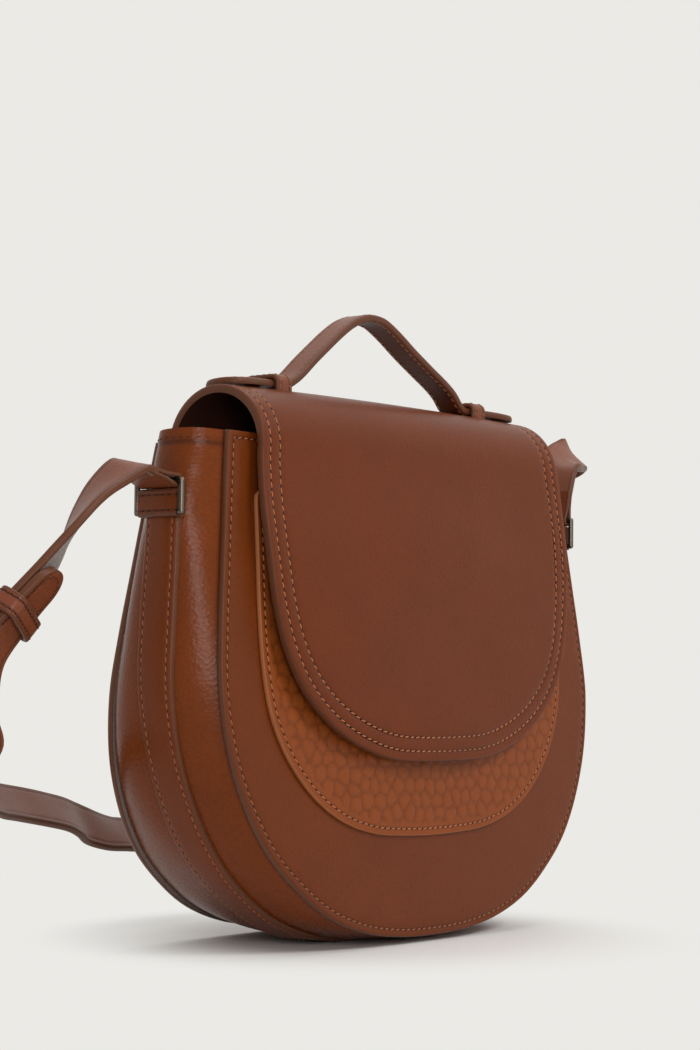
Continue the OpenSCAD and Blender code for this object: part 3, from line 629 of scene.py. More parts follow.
main_run = resampled(main_run, main_steps, fine_steps)
tip_share = np.sqrt(np.clip(1 - (1 - np.minimum(fine_steps, half_strap) / half_strap) ** 2, 0.004, 1))
turn_long = 24.0
split = int(np.searchsorted(fine_steps, fine_steps[-1] - turn_long))
long_part = strip(*(part[:split + 1] for part in main_run), strap_section, tip_share[:split + 1])
strap_main = sew_up("strap_main", [long_part], lined_faces, "bag")
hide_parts("strap_long")
strap_turn_right = sew_up(
    "strap_turn_right",
    [strip(*(part[split:] for part in main_run), strap_section),
     strip(*turned_end(1, 80, 12), turned_over(ply_section))],
    lined_faces, None,
)
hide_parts("strap_end_right")
row_half, row_from, row_to = 6.3, 9, 26
tip_row = [(s, -row_half) for s in np.linspace(row_to, row_from, 12)]
tip_row += [(half_strap - row_half * math.sin(a), -row_half * math.cos(a))
            for a in np.linspace(0.1, math.pi - 0.1, 16)]
tip_row += [(s, row_half) for s in np.linspace(row_from, row_to, 12)]
at_tip = resampled(main_run, fine_steps, np.array([s for s, a in tip_row]))
tip_path = at_tip[0] + at_tip[1] * np.array([[a] for s, a in tip_row]) + at_tip[2] * strap_thick / 2
strap_tip_stitches = sew("strap_tip_stitches", [stitch_row(tip_path, at_tip[2], pitch=2.7, length=2.0)],
                         "bag", [dark_thread, needle_hole_shade])
print("strap_main", len(strap_main.data.vertices), "points")

# %% [markdown]
# The keeper is a narrow band sewn into a loop that holds both ends of the strap together. It is the
# same strip again, closed on itself round a flat oval, with a stitch row along each edge.

# %% Keeper
keeper_mid = np.array(short_line[5][0]) + face_out(short_line, 5) * (strap_thick + ply_gap) / 2
keeper_along = unit(np.subtract(short_line[6][0], short_line[4][0]).astype(float))
keeper_out = face_out(short_line, 5)
keeper_across = unit(np.cross(keeper_out, keeper_along))


def oval(half_a, half_b, corner, count=7):
    """Rounded rectangle, anticlockwise."""
    made = []
    for sx, sy, start in ((1, -1, -90), (1, 1, 0), (-1, 1, 90), (-1, -1, 180)):
        for step in np.linspace(0, 90, count):
            a = math.radians(start + step)
            made.append((sx * (half_a - corner) + corner * math.cos(a),
                         sy * (half_b - corner) + corner * math.sin(a)))
    return made


def looped(around, middle, side_a, side_b, wide):
    """A closed line in a plane with its strip directions, the face turned outwards."""
    centres = np.array([middle + side_a * a + side_b * b for a, b in around])
    along, across, out = directions(centres, np.tile(wide, (len(centres), 1)), closed=True)
    if np.sum(out * (centres - middle)) < 0:
        centres = centres[::-1]
        along, across, out = directions(centres, np.tile(wide, (len(centres), 1)), closed=True)
    return centres, across, out


keeper_long, keeper_thick = 7.8, 1.6
keeper_oval = oval(strap_wide / 2 + 1.3, strap_thick + 1.5, 2.2)
keeper_loop = looped(keeper_oval, keeper_mid, keeper_across, keeper_out, keeper_along)
keeper_section = strip_section(keeper_long, keeper_thick, crease=2.0, depth=0.1, corner=0.7)
keeper_band = sew_up("keeper_band", [strip(*keeper_loop, keeper_section, closed=True)],
                     [strap_leather, edge_paint, inner_leather], "strap_keeper")
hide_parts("strap_keeper")
keeper_rows = [stitch_row(keeper_loop[0] + keeper_loop[1] * a + keeper_loop[2] * keeper_thick / 2,
                          keeper_loop[2], pitch=2.6, length=1.9, closed=True) for a in (-2.2, 2.2)]
keeper_stitches = sew("keeper_stitches", keeper_rows, "strap_keeper",
                      [dark_thread, needle_hole_shade])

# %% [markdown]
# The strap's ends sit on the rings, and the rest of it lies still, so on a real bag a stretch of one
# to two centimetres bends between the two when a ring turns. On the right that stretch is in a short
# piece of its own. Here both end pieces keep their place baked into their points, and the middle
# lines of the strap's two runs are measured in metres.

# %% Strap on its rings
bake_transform(strap_left)
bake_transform(strap_turn_right)


def in_metres(line):
    """Points in mm as the frame's points in metres."""
    return [tuple(float(v) * MM for v in p) for p in line]


def line_length(points):
    """Length of a line through points, rounded to a millimetre."""
    return round(float(steps_along(np.array(points))[-1]), 3)


left_cord = [(-0.1164, 0.0, 0.159)] + in_metres(left_run[0])
main_cord = in_metres(main_run[0][:split + 1])[::-1]
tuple(left_cord[0])
line_length(left_cord)
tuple(main_cord[0])
line_length(main_cord)
print("cords in m", line_length(left_cord), line_length(main_cord))

# %% [markdown]
# ## Flat pieces cut from a hide
# Panels, pocket, flap and tabs are cut from flat leather with a knife, so each starts as an outline.
# The outline is filled with a fine net of points by triangulation, which follows any shape. Every
# point knows how far it is from the edge, and that distance gives the rounded edge, the groove that a
# stitch row pulls in, the painted shade along that groove and the soft rise towards the middle. A
# placing step then lays the piece where it belongs: on a leaning panel, or round an arch.

# %% Outline
def outline(shares, half_wide, low, high, count=7):
    """Closed outline from its shares: the right half from the bottom up, then the left half down."""
    half = [(s[0] * half_wide, low + s[1] * (high - low)) for s in shares]
    right = grow([(-half[1][0], half[1][1])] + half, count)[count:]
    return np.vstack([right, (right * [-1, 1])[::-1][:-1]])


def spaced(line, gap, closed=True):
    """A line with points put in wherever two are further apart than the gap."""
    ends = np.vstack([line, line[:1]]) if closed else line
    made = []
    for a, b in zip(ends[:-1], ends[1:]):
        parts = max(1, int(math.ceil(np.linalg.norm(b - a) / gap)))
        made += [a + (b - a) * k / parts for k in range(parts)]
    return np.array(made if closed else made + [ends[-1]])

# %% Distance to the edge
def edge_distance(points, line, joint_at=None):
    """Distance of each point to a closed line, apart from a straight joint to the next piece."""
    a, b = line, np.roll(line, -1, 0)
    if joint_at is not None:
        real = (np.abs(a[:, 1] - joint_at) > 1e-6) | (np.abs(b[:, 1] - joint_at) > 1e-6)
        a, b = a[real], b[real]
    span = b - a
    found = np.full(len(points), 1e9)
    for first in range(0, len(points), 4000):
        p = points[first:first + 4000, None]
        t = np.clip(np.sum((p - a) * span, -1) / np.maximum(np.sum(span * span, -1), 1e-12), 0, 1)
        gap = np.linalg.norm(p - a - t[..., None] * span, axis=-1)
        found[first:first + 4000] = gap.min(1)
    return found


def moved_in(line, inset):
    """The line moved inwards, without the points that would cross at corners."""
    before, after = line - np.roll(line, 1, 0), np.roll(line, -1, 0) - line
    n1 = unit(np.stack([-before[:, 1], before[:, 0]], -1))
    n2 = unit(np.stack([-after[:, 1], after[:, 0]], -1))
    middle = unit(n1 + n2)
    reach = inset / np.clip(np.sum(middle * n1, -1), 0.5, 1)
    made = line + middle * reach[:, None]
    return made[edge_distance(made, line) > inset - 0.03]

# %% Filling an outline
def anticlockwise(line):
    """The closed line, turned round where it ran clockwise."""
    area = np.sum(line[:, 0] * np.roll(line[:, 1], -1) - line[:, 1] * np.roll(line[:, 0], -1))
    return line[::-1] if area < 0 else line


def triangulated(points, count):
    """Fills the closed line of the first points: points, triangles, and which old points each new one is."""
    filled = delaunay_2d_cdt([Vector(p) for p in points], [], [list(range(count))], 1, 1e-4)
    return np.array([tuple(p) for p in filled[0]]), filled[2], filled[3]


def wall(above, below):
    """Faces between two rims with as many points."""
    return [(above[(i + 1) % len(above)], above[i], below[i], below[(i + 1) % len(above)])
            for i in range(len(above))]

# %% Plate
def plate(line, thick, gap, corner, rows=(), *, place, rise=None, pull=0.22, paint=0.35, joint_at=None):
    """A flat piece: line is its outline, rows the insets of its stitch rows, rise extra height."""
    line = anticlockwise(spaced(np.asarray(line, float), min(gap, 1.8)))
    insets = [corner * k for k in (0.3, 0.65, 1.0)]
    insets += [r + k for r in rows for k in (-0.8, -0.35, 0, 0.35, 0.8)]
    points = [line] + [moved_in(line, d) for d in insets]
    low, high = line.min(0), line.max(0)
    across = np.arange(low[0], high[0], gap)
    upward = np.arange(low[1], high[1], gap * 0.87)
    grid = np.array([(x + (gap / 2 if k % 2 else 0), y) for k, y in enumerate(upward) for x in across])
    depth = edge_distance(grid, line)
    keep = inside(grid, line) & (depth > max(corner * 1.6, 0.8))
    for r in rows:
        keep &= np.abs(depth - r) > 1.2
    points = np.vstack(points + [grid[keep]])
    count = len(line)
    flat, faces, kept_from = triangulated(points, count)
    home = {o: new for new, old in enumerate(kept_from) for o in old}
    rim = [home[i] for i in range(count)]
    depth = edge_distance(flat, line, joint_at)
    if joint_at is None:
        depth[rim] = 0
    drop = corner - np.sqrt(np.maximum(corner**2 - np.maximum(corner - depth, 0) ** 2, 0))
    # Stitch rows press a groove in, and the same mark paints shade along it.
    groove_and_shade = sum((np.exp(-(((depth - r) / 0.5) ** 2)) for r in rows), np.zeros(len(flat)))
    top = thick - drop - pull * groove_and_shade
    if rise is not None:
        top = top + rise(flat[:, 0], flat[:, 1], depth)
    faces = [f if turning(flat, f) > 0 else f[::-1] for f in faces]
    which = [1 if depth[list(f)].max() < paint else 0 for f in faces]
    outward = unit(line - moved_rim(line))
    under = moved_rim(line, 0.3)
    bulges = ((0.5, 0.12), (0.2, 0.1), (0.0, -0.1))
    rims = [(line + outward * bulge, thick * share) for share, bulge in bulges]
    points = [np.column_stack([flat, top])]
    last, base = rim, len(flat)
    for ring, height in rims + [(under, 0.0)]:
        points.append(np.column_stack([ring, np.full(count, height)]))
        here = list(range(base, base + count))
        faces += wall(last, here)
        which += [1] * count
        last, base = here, base + count
    points = np.vstack(points)
    _, back_faces, back_from = triangulated(under, count)
    names = {new: here[old[0]] for new, old in enumerate(back_from) if old}
    for f in back_faces:
        f = [names[k] for k in f]
        faces.append(f[::-1] if turning(points, f) > 0 else f)
        which.append(2)
    groove_and_shade = np.concatenate([np.clip(groove_and_shade, 0, 1), np.zeros(len(points) - len(flat))])
    return place(points), faces, which, points, groove_and_shade

# %% Measures of a plate
def turning(points, face):
    """More than 0 where the first three points of a face turn left in the plan."""
    a, b, c = (points[k] for k in face[:3])
    return (b[0] - a[0]) * (c[1] - a[1]) - (b[1] - a[1]) * (c[0] - a[0])


def moved_rim(line, inset=0.6):
    """The line moved inwards, point for point."""
    along = unit(np.roll(line, -1, 0) - np.roll(line, 1, 0))
    return line + np.stack([-along[:, 1], along[:, 0]], -1) * inset


def inside(points, line):
    """Which points lie inside a closed line."""
    a, b = line, np.roll(line, -1, 0)
    found = np.zeros(len(points), bool)
    for (ax, ay), (bx, by) in zip(a, b):
        if ay != by:
            crossed = ((ay > points[:, 1]) != (by > points[:, 1])) & (
                points[:, 0] < (bx - ax) * (points[:, 1] - ay) / (by - ay) + ax)
            found ^= crossed
    return found

# %% Stitch row of a plate
def plate_row(line, inset, height, place, joint_at=None):
    """Stitch row round a plate at an inset: its path and the directions out of the face."""
    line = anticlockwise(np.asarray(line, float))
    row = moved_in(spaced(line, 1.8), inset)
    if joint_at is not None:
        row = row[np.abs(edge_distance(row, line, joint_at) - inset) < 0.12]
        gaps = np.linalg.norm(np.roll(row, -1, 0) - row, axis=1)
        row = np.roll(row, -(int(gaps.argmax()) + 1), 0)
    up = np.full(len(row), height)
    path = place(np.column_stack([row, up]))
    return path, unit(place(np.column_stack([row, up + 0.5])) - path)

# %% [markdown]
# ## Panels
# Both panels are the same shape, stiff, and lean in towards the top. The front one is only seen as a
# border round the pocket and the flap, and its thick painted edge stands out past the gusset, which
# draws the dark line down the bag's side. Its stitch row holds the gusset.

# %% Measures of the body
panel_shares = [
    (0, 0), (0.18, 0.004), (0.36, 0.021), (0.53, 0.057), (0.67, 0.11), (0.8, 0.18), (0.9, 0.27),
    (0.97, 0.377), (1, 0.5), (0.99, 0.62), (0.97, 0.74), (0.948, 0.87), (0.925, 1),
]
body_half, body_high, panel_low, top_edge, back_top_edge = 110.0, 175.0, 2.4, 177.0, 174.0
front_foot, back_foot, top_half = 28.0, 41.0, 16.0
lean = math.atan((front_foot - top_half) / body_high)
back_lean = math.atan((back_foot - top_half) / body_high)
panel_thick, panel_row, seam_inset, fold_at = 2.4, 2.5, 1.2, 173.0


def pillow(x, along):
    """Soft rise of everything on the front, in mm, from the flat of the panel."""
    z = along * math.cos(lean)
    return 1.6 * np.maximum(0, 1 - (x / 104) ** 2) ** 1.2 * np.maximum(0, 1 - ((z - 84) / 88) ** 2) ** 1.2


def tilt_of(side):
    """Lean and foot of the front (side -1) or the back (side 1) panel."""
    return (lean, front_foot) if side < 0 else (back_lean, back_foot)


def on_face(side, base):
    """Lays plan points on the front or the back panel, base mm above its face."""
    tilt, foot = tilt_of(side)

    def place(points):
        x, along = points[:, 0], points[:, 1]
        up = points[:, 2] + base + pillow(x, along)
        y = -foot + along * math.sin(tilt) - up * math.cos(tilt)
        return np.column_stack([x * -side, -side * y, along * math.cos(tilt) + up * math.sin(tilt)])
    return place


def upright(line, side=-1):
    """Plan of an outline that is given by its heights above the floor."""
    return line * [1, 1 / math.cos(tilt_of(side)[0])]


def drawn_in(x, z, share=1.0):
    """Moves the front's edges in: the panel is sewn on a little further in, on the right only at the top."""
    right = 3.2 * np.clip(x / 95, 0, 1) * np.clip((z - 90) / 60, 0, 1)
    return x + share * (2.2 * np.clip(-x / 100, 0, 1) - right)


def face_out_at(side, z):
    """Distance of a panel's outer face from the middle of the top."""
    tilt, foot = tilt_of(side)
    return foot - z * math.tan(tilt)


def half_in(z):
    """Half of the depth between the panels."""
    front = face_out_at(-1, z) - panel_thick / math.cos(lean)
    return (front + face_out_at(1, z) - panel_thick / math.cos(back_lean)) / 2


def mid_in(z):
    """Middle of the depth between the panels."""
    front = face_out_at(-1, z) - panel_thick / math.cos(lean)
    return (face_out_at(1, z) - panel_thick / math.cos(back_lean) - front) / 2

# %% Panels
panel_line = outline(panel_shares, body_half, panel_low, top_edge)
body_faces = [body_leather, edge_paint, suede]
panel_rows = []
for side, name in ((-1, "front"), (1, "back")):
    lay = on_face(side, -panel_thick)

    def place(points, side=side, lay=lay):
        """Lays the plan of a panel, the front one with its sides drawn in."""
        laid = lay(points)
        return laid if side > 0 else np.column_stack([drawn_in(laid[:, 0], laid[:, 2]), laid[:, 1:]])
    cut = upright(outline(panel_shares, body_half, panel_low, top_edge if side < 0 else back_top_edge), side)
    panel = sew_up(name + "_panel_leather", [plate(cut, panel_thick, 4.0, 0.7, [panel_row], place=place)],
                   body_faces, "bag")
    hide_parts(name + "_panel")
    panel_rows.append(stitch_row(*plate_row(cut, panel_row, panel_thick - 0.2, place), closed=True))
    print(panel.name, len(panel.data.vertices), "points")
sew("panel_stitches", panel_rows, "bag")

# %% [markdown]
# ## Embossed pocket
# The patch pocket is a lighter leather with a pressed pattern of rounded cells, like river pebbles. A
# press with a carved plate makes it, so the cells are real relief here: seeded points fall into a
# jittered grid, each cell rises between its neighbours, and the creases between them are painted
# darker, which is painted shade.

# %% Pattern of the pocket
pocket_shares = [
    (0, 0), (0.24, 0.006), (0.37, 0.017), (0.51, 0.045), (0.645, 0.095), (0.768, 0.17), (0.873, 0.27),
    (0.945, 0.39), (0.976, 0.53), (0.984, 0.68), (0.98, 0.83), (0.977, 0.94), (0.974, 1.02), (0.955, 1.043),
]
pocket_half, pocket_low, pocket_high, pocket_thick = 91.0, 38.0, 152.0, 1.6
pocket_row, plain_border = 2.35, 3.6
seeded = np.random.default_rng(7)
cell_wide = 6.4
cell_grid = np.array([(x + (cell_wide / 2 if k % 2 else 0), y)
                      for k, y in enumerate(np.arange(20, 170, cell_wide * 0.8))
                      for x in np.arange(-100, 101, cell_wide)])
cell_mid = cell_grid + seeded.uniform(-0.27, 0.27, cell_grid.shape) * cell_wide


def crease_distance(x, y):
    """Distance of each point to the crease between its two nearest cells."""
    found = np.empty(len(x))
    for first in range(0, len(x), 2000):
        p = np.column_stack([x, y])[first:first + 2000, None]
        gaps = np.partition(np.linalg.norm(p - cell_mid, axis=-1), 1, axis=1)
        found[first:first + 2000] = (gaps[:, 1] - gaps[:, 0]) / 2
    return found


def inside_border(depth):
    """0 on the plain border along the pocket's edge, 1 where the cells are."""
    return np.clip((depth - plain_border) / 1.5, 0, 1)


def pebbles(x, along, depth):
    """Relief of the pressed cells, flat near the edge of the pocket."""
    rise = np.clip(crease_distance(x, along) / 1.3, 0, 1)
    return 0.42 * (np.sqrt(1 - (1 - rise) ** 2) - 1) * inside_border(depth)

# %% Pocket
pocket_line = upright(outline(pocket_shares, pocket_half, pocket_low, pocket_high))
pocket_part = plate(pocket_line, pocket_thick, 1.15, 0.35, [pocket_row], rise=pebbles, place=on_face(-1, 0),
                    paint=0.3)
cut_places = pocket_part[3]
# Painted shade in the creases between the pressed cells.
crease_shade = np.clip(1 - crease_distance(cut_places[:, 0], cut_places[:, 1]) / 0.9, 0, 1)
crease_shade *= inside_border(edge_distance(cut_places[:, :2], pocket_line))
pocket_part = pocket_part[:4] + (np.maximum(pocket_part[4], crease_shade * 0.62),)
pocket = sew_up("pocket_leather_piece", [pocket_part], [pocket_leather, raw_edge, suede], "bag")
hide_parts("front_pocket")
row = plate_row(pocket_line, pocket_row, pocket_thick - 0.15, on_face(-1, 0))
sew("pocket_stitches", [stitch_row(*row, closed=True)], "bag", [light_thread, needle_hole_shade])
print("pocket", len(pocket.data.vertices), "points,", len(cell_mid), "cells")

# %% [markdown]
# ## Gusset
# The gusset is one long soft strip that joins the two panels and swells out between them, because it
# is cut wider than the gap that it fills. Air and its own stiffness hold that swell, more at the top
# than at the base. It could be blown up in a cloth simulation, but the real one is padded and always
# stands the same way, so the swell is a curve across the strip, and small puckers at the seams and
# creases by the ring make it leather.

# %% Gusset's measures
swell_shares = [(0, 0.38), (0.15, 0.45), (0.3, 0.58), (0.5, 0.76), (0.62, 0.83), (0.88, 1), (1, 0.8)]
fullest, gusset_thick = 10.5, 1.8


def swell(z, v):
    """How far the gusset stands out at a height and a share across it."""
    share = np.interp((z - panel_low) / (body_high - panel_low), *zip(*swell_shares))
    return fullest * share * (1 - np.abs(v) ** 3)


half_panel = panel_line[: len(panel_line) // 2 + 1]
gusset_line = np.vstack([(half_panel * [-1, 1])[::-1], half_panel[1:]])
gusset_line = spaced(gusset_line, 2.2, closed=False)
gusset_along = unit(np.gradient(gusset_line, axis=0))
gusset_out = np.stack([gusset_along[:, 1], -gusset_along[:, 0]], -1)
gusset_steps = steps_along(gusset_line)

# %% Surface of the gusset
def wrinkles(steps, z, y, v):
    """Small uneven height of the gusset leather: puckers at the seams, creases near ring and top."""
    seam = np.exp(-(1 - np.abs(v)) * half_in(z) / 3.2)
    beat = np.sin(steps / 1.1 + 1.5 * np.sin(steps / 7.0)) * np.sin(steps / 5.3 + np.sign(v) * 2)
    pucker = 0.16 * seam * beat
    near_top = np.exp(-(((z - 161) / 9.0) ** 2))
    beat = np.sin(z / 1.3 + 0.35 * y + 1.6 * np.sin(y / 3.1 + z / 9.0)) * np.sin(z / 4.1 - y / 5.0 + 1.0)
    folds = 0.17 * near_top * beat * (0.4 + np.abs(v))
    slack = 0.4 * np.sin(steps / 23.0 + 0.4) * np.cos(y / 11.0 + 0.6) + 0.25 * np.sin(steps / 11.0 + y / 6.0)
    ring_pull = -0.7 * np.exp(-(((z - 151) / 9) ** 2 + ((np.abs(y) - 11.5) / 2.6) ** 2))
    return (pucker + folds + slack * 0.8) * (1 - np.abs(v) ** 8) + ring_pull


def on_gusset(rows, v, off, smooth=False):
    """Points off the gusset's seam line, at shares v across it."""
    line, out, steps = gusset_line[rows], gusset_out[rows], gusset_steps[rows]
    z0 = line[:, 1][:, None]
    v = np.broadcast_to(v, (len(line), np.shape(v)[-1]))
    y = mid_in(z0) + v * half_in(z0)
    height = swell(z0, v) - seam_inset + off
    if not smooth:
        height = height + wrinkles(steps[:, None], z0, y, v)
    spot = line[:, None] + out[:, None] * height[..., None]
    x = drawn_in(spot[..., 0], spot[..., 1], np.clip(-v, 0, 1) ** 1.5)
    near_top = np.clip((spot[..., 1] - 160) / (top_edge - 160), 0, 1)
    corner = 4.2 * np.clip((v - 0.7) / 0.3, 0, 1) ** 1.5 + 0.03 * (y + 14)
    z = np.maximum(spot[..., 1] - corner * near_top, 0.25)
    return np.stack([x, y, z], -1), np.stack([np.broadcast_to(steps[:, None], y.shape), y, z * 0], -1)


def slab(outer, inner, places, groove_and_shade=None):
    """Closed piece between two nets of points, with a wall of painted edge all round."""
    rows, cols = outer.shape[:2]
    n = rows * cols
    points = np.vstack([outer.reshape(-1, 3), inner.reshape(-1, 3)])
    faces, kinds = [], []
    for i in range(rows - 1):
        for j in range(cols - 1):
            a = i * cols + j
            faces.append((a, a + cols, a + cols + 1, a + 1))
            faces.append((n + a, n + a + 1, n + a + cols + 1, n + a + cols))
            kinds += [0, 2]
    ring = [i * cols for i in range(rows)] + [(rows - 1) * cols + j for j in range(1, cols)]
    ring += [i * cols + cols - 1 for i in range(rows - 2, -1, -1)] + [j for j in range(cols - 2, 0, -1)]
    for a, b in zip(ring, ring[1:] + ring[:1]):
        faces.append((b, a, n + a, n + b))
        kinds.append(1)
    groove_and_shade = None if groove_and_shade is None else np.concatenate([groove_and_shade.ravel(), np.zeros(n)])
    return points, faces, kinds, np.vstack([places.reshape(-1, 3)] * 2), groove_and_shade


# %% Gusset
gusset_v = np.sin(np.linspace(-math.pi / 2, math.pi / 2, 45)) * 0.6 + np.linspace(-1, 1, 45) * 0.4
all_rows = np.arange(len(gusset_line))
outer, places = on_gusset(all_rows, gusset_v, 0.0)
height = gusset_line[:, 1][:, None]
hem = 0.55 * np.clip((height - (top_edge - 4.6)) / 0.5, 0, 1)
outer[..., 0] += gusset_out[:, None, 0] * hem
inner, _ = on_gusset(all_rows, gusset_v, -gusset_thick, smooth=True)
# Painted shade: the gusset is darkened in the narrow seam under the panels' edges and along the hem's stitch
# line.
seam_shade = np.clip(1 - (1 - np.abs(gusset_v)) * 20 / 1.1, 0, 1)[None, :]
hem_groove_shade = np.exp(-(((height - (top_edge - 4.8)) / 0.5) ** 2))
gusset_part = slab(outer, inner, places, groove_and_shade=np.maximum(seam_shade, hem_groove_shade * 0.9))
gusset = sew_up("gusset_leather_piece", [gusset_part], [gusset_leather, gusset_leather, suede], "bag",
                sharp=70)
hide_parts("gusset")


def hem_row(side):
    """Stitch row under the folded top edge of the gusset on one side."""
    row = int(np.argmin(np.abs(gusset_line[:, 1] - (top_edge - 3.0)) + 1000 * (gusset_line[:, 0] * side < 0)))
    path, away = (on_gusset(np.array([row]), np.linspace(-0.97, 0.97, 60), up)[0][0] for up in (0.5, 1.5))
    return stitch_row(path, unit(away - path))


sew("hem_stitches", [hem_row(-1), hem_row(1)], "bag", [dark_thread, needle_hole_shade])
print("gusset", len(gusset.data.vertices), "points, swells to", round(float(outer[..., 0].max()), 1), "mm")

# %% [markdown]
# ## Bands down the sides
# A darker band runs down the middle of each side from the ring's tab and on under the base. It is a
# separate strap sewn on with two rows, and its thick painted edges catch the light.

# %% Side bands
band_half, band_thick, band_row = 7.0, 1.7, 0.72
band_section = [(-1, 0.55), (-0.985, 0.2), (-0.94, 0.05), (-0.85, 0), (-0.76, 0.02), (-band_row, 0.2),
                (-0.68, 0.02), (-0.5, 0), (-0.25, 0), (0, 0)]


def across_gusset(y, z):
    """Share across the gusset of a depth y at height z."""
    return (y - mid_in(z)) / half_in(z)


def band(side):
    """Band on one side of the bag, and its two stitch rows."""
    keep = (gusset_line[:, 0] * side > 0) & (gusset_line[:, 1] < ring_low - 1.2)
    if side < 0:
        keep |= (gusset_line[:, 1] < 2.45)
    rows = np.where(keep)[0]
    z = gusset_line[rows, 1]
    edge, fall = np.array(band_section + [(-a, f) for a, f in band_section[-2::-1]]).T
    v = across_gusset(edge[None, :] * band_half, z[:, None])
    thick = band_thick * np.clip((z - 2.0) / 5.0, 0.12, 1)[:, None]
    outer, places = on_gusset(rows, v, thick - fall)
    inner, _ = on_gusset(rows, v, 0.1 - 0.4 * (thick < 1))
    # Painted shade along the band's two stitch grooves.
    groove_and_shade = np.broadcast_to(np.where(fall == 0.2, 0.7, 0), v.shape) * (np.abs(edge) < 0.8)
    part = slab(outer, inner, places, groove_and_shade=groove_and_shade)
    cols = len(edge)
    kinds = list(part[2])
    for f in range(len(rows) - 1):
        for j in (0, 1, cols - 3, cols - 2):
            kinds[2 * (f * (cols - 1) + j)] = 1
    part = (part[0], part[1], kinds, part[3], part[4])
    stitches = []
    for s in (-band_row, band_row):
        lines = [on_gusset(rows, across_gusset(s * band_half, z[:, None]), lift)[0][:, 0] for lift in
                 (thick - 0.12, thick + 1)]
        stitches.append(stitch_row(lines[0][z > 3], unit(lines[1] - lines[0])[z > 3]))
    return part, stitches


both_sides = ((-1, "left"), (1, "right"))
for side, name in both_sides:
    part, rows = band(side)
    piece = sew_up("band_leather_" + name, [part], [band_leather, edge_paint, suede], "bag")
    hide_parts("gusset_band_" + name)
    sew("band_stitches_" + name, rows, "bag")

# %% [markdown]
# ## Ring tabs and rings
# Each ring is held by a short folded tab across the band, sewn with two rows. The rings themselves are
# bent wire and come from the frame as they are, with a polished and slightly brushed metal.

# %% Ring tabs
def sewn_strip(centres, wide, section, way, lift, row_at, pitch):
    """Strip with its grain turned to one way, and its stitch rows that far above its middle."""
    along, across, out = directions(centres, np.tile(wide, (len(centres), 1)))
    turn = np.sign(np.sum(out[len(out) // 2] * way))
    part = strip(centres, across, out, section if turn > 0 else turned_over(section))
    outward = out * turn
    return part, [stitch_row(centres + across * a + outward * lift, outward, pitch=pitch, length=2.1)
                  for a in row_at]


def ring_tab(side):
    """Folded tab over the lower bar of a ring, following the swell of the gusset."""
    high, deep = 9.4, 5.2
    count = 25
    ends = np.linspace(-half_strap, half_strap, count) * 0.95
    middle = ring_low - 1.5 + high / 2
    face = ring_x + ring_wire / 2 + 0.9
    bow = 0.55 * (ends / half_strap) ** 2
    centres = np.column_stack([side * (face - bow - deep / 2), ends * -side, np.full(count, middle)])
    section = strip_section(high, deep, crease=2.1, depth=0.22, corner=1.1)
    return sewn_strip(centres, [0.0, 0.0, 1.0], section, [side, 0, 0], deep / 2 - 0.1, (-2.6, 2.5), 2.9)


for side, name in both_sides:
    part, rows = ring_tab(side)
    piece = sew_up("ring_tab_leather_" + name, [part], [band_leather, edge_paint, band_leather], "bag")
    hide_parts("ring_tab_" + name)
    sew("ring_tab_stitches_" + name, rows, "bag", [dark_thread, needle_hole_shade])

# %% Metal, boards and magnets
def metal(name, colour, rough):
    """Metal with fine scratches and worn patches."""
    material, tree, out = new_material(name)
    spot = add(tree, "TexCoord").outputs["Object"]
    brushed = add(tree, "Mapping", {"Vector": spot}, Scale=(1.0, 1.0, 6.0)).outputs["Vector"]
    scratch = add(tree, "TexNoise", {"Vector": brushed}, Scale=1400.0, Detail=3.0)
    wear_and_grain_shade = add(tree, "TexNoise", {"Vector": spot}, Scale=220.0, Detail=2.0)
    roughness = maths(tree, "ADD", maths(tree, "MULTIPLY", scratch.outputs["Fac"], 0.2), rough - 0.1)
    roughness = maths(tree, "ADD", roughness, maths(tree, "MULTIPLY", wear_and_grain_shade.outputs["Fac"], 0.08))
    bump = add(tree, "Bump", {"Height": scratch.outputs["Fac"]}, Strength=1.0, Distance=0.02 * MM)
    skin = add(tree, "BsdfPrincipled", {"Roughness": roughness, "Normal": bump.outputs["Normal"]},
               Base_Color=linear(colour), Metallic=1.0)
    tree.links.new(skin.outputs[0], out.inputs["Surface"])
    return material


polished = metal("polished_metal", (106, 98, 88), 0.28)
magnet_steel = metal("magnet_steel", (176, 176, 178), 0.35)
grey_board = matt("grey_board", (150, 140, 120), size=0.8, relief=0.1, rough=0.9, place=None)
for names, material in (
    (("ring_left", "ring_right", "buckle_frame", "buckle_prong"), polished),
    (("body_magnet", "flap_magnet"), magnet_steel),
    (("front_board", "back_board", "base_board"), grey_board),
):
    for name in names:
        for kept_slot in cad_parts[name].material_slots:
            kept_slot.material = material
print("metal on rings, buckle and prong")

# %% [markdown]
# ## Flap
# Flap, arch and rear strip are one long piece of leather with a leather lining glued under it. Sewn to
# the back panel, it rises straight up, turns over the top in a half circle, and hangs in front. It is
# cut flat here too, and then bent along a profile: the outer line of the bag seen from the side.
# It is made in two halves that meet on the ridge. Two stitch rows run all round it. Soft leather never
# hangs quite flat on what is under it, so the front stands a little off the pocket and throws a shadow
# on it.

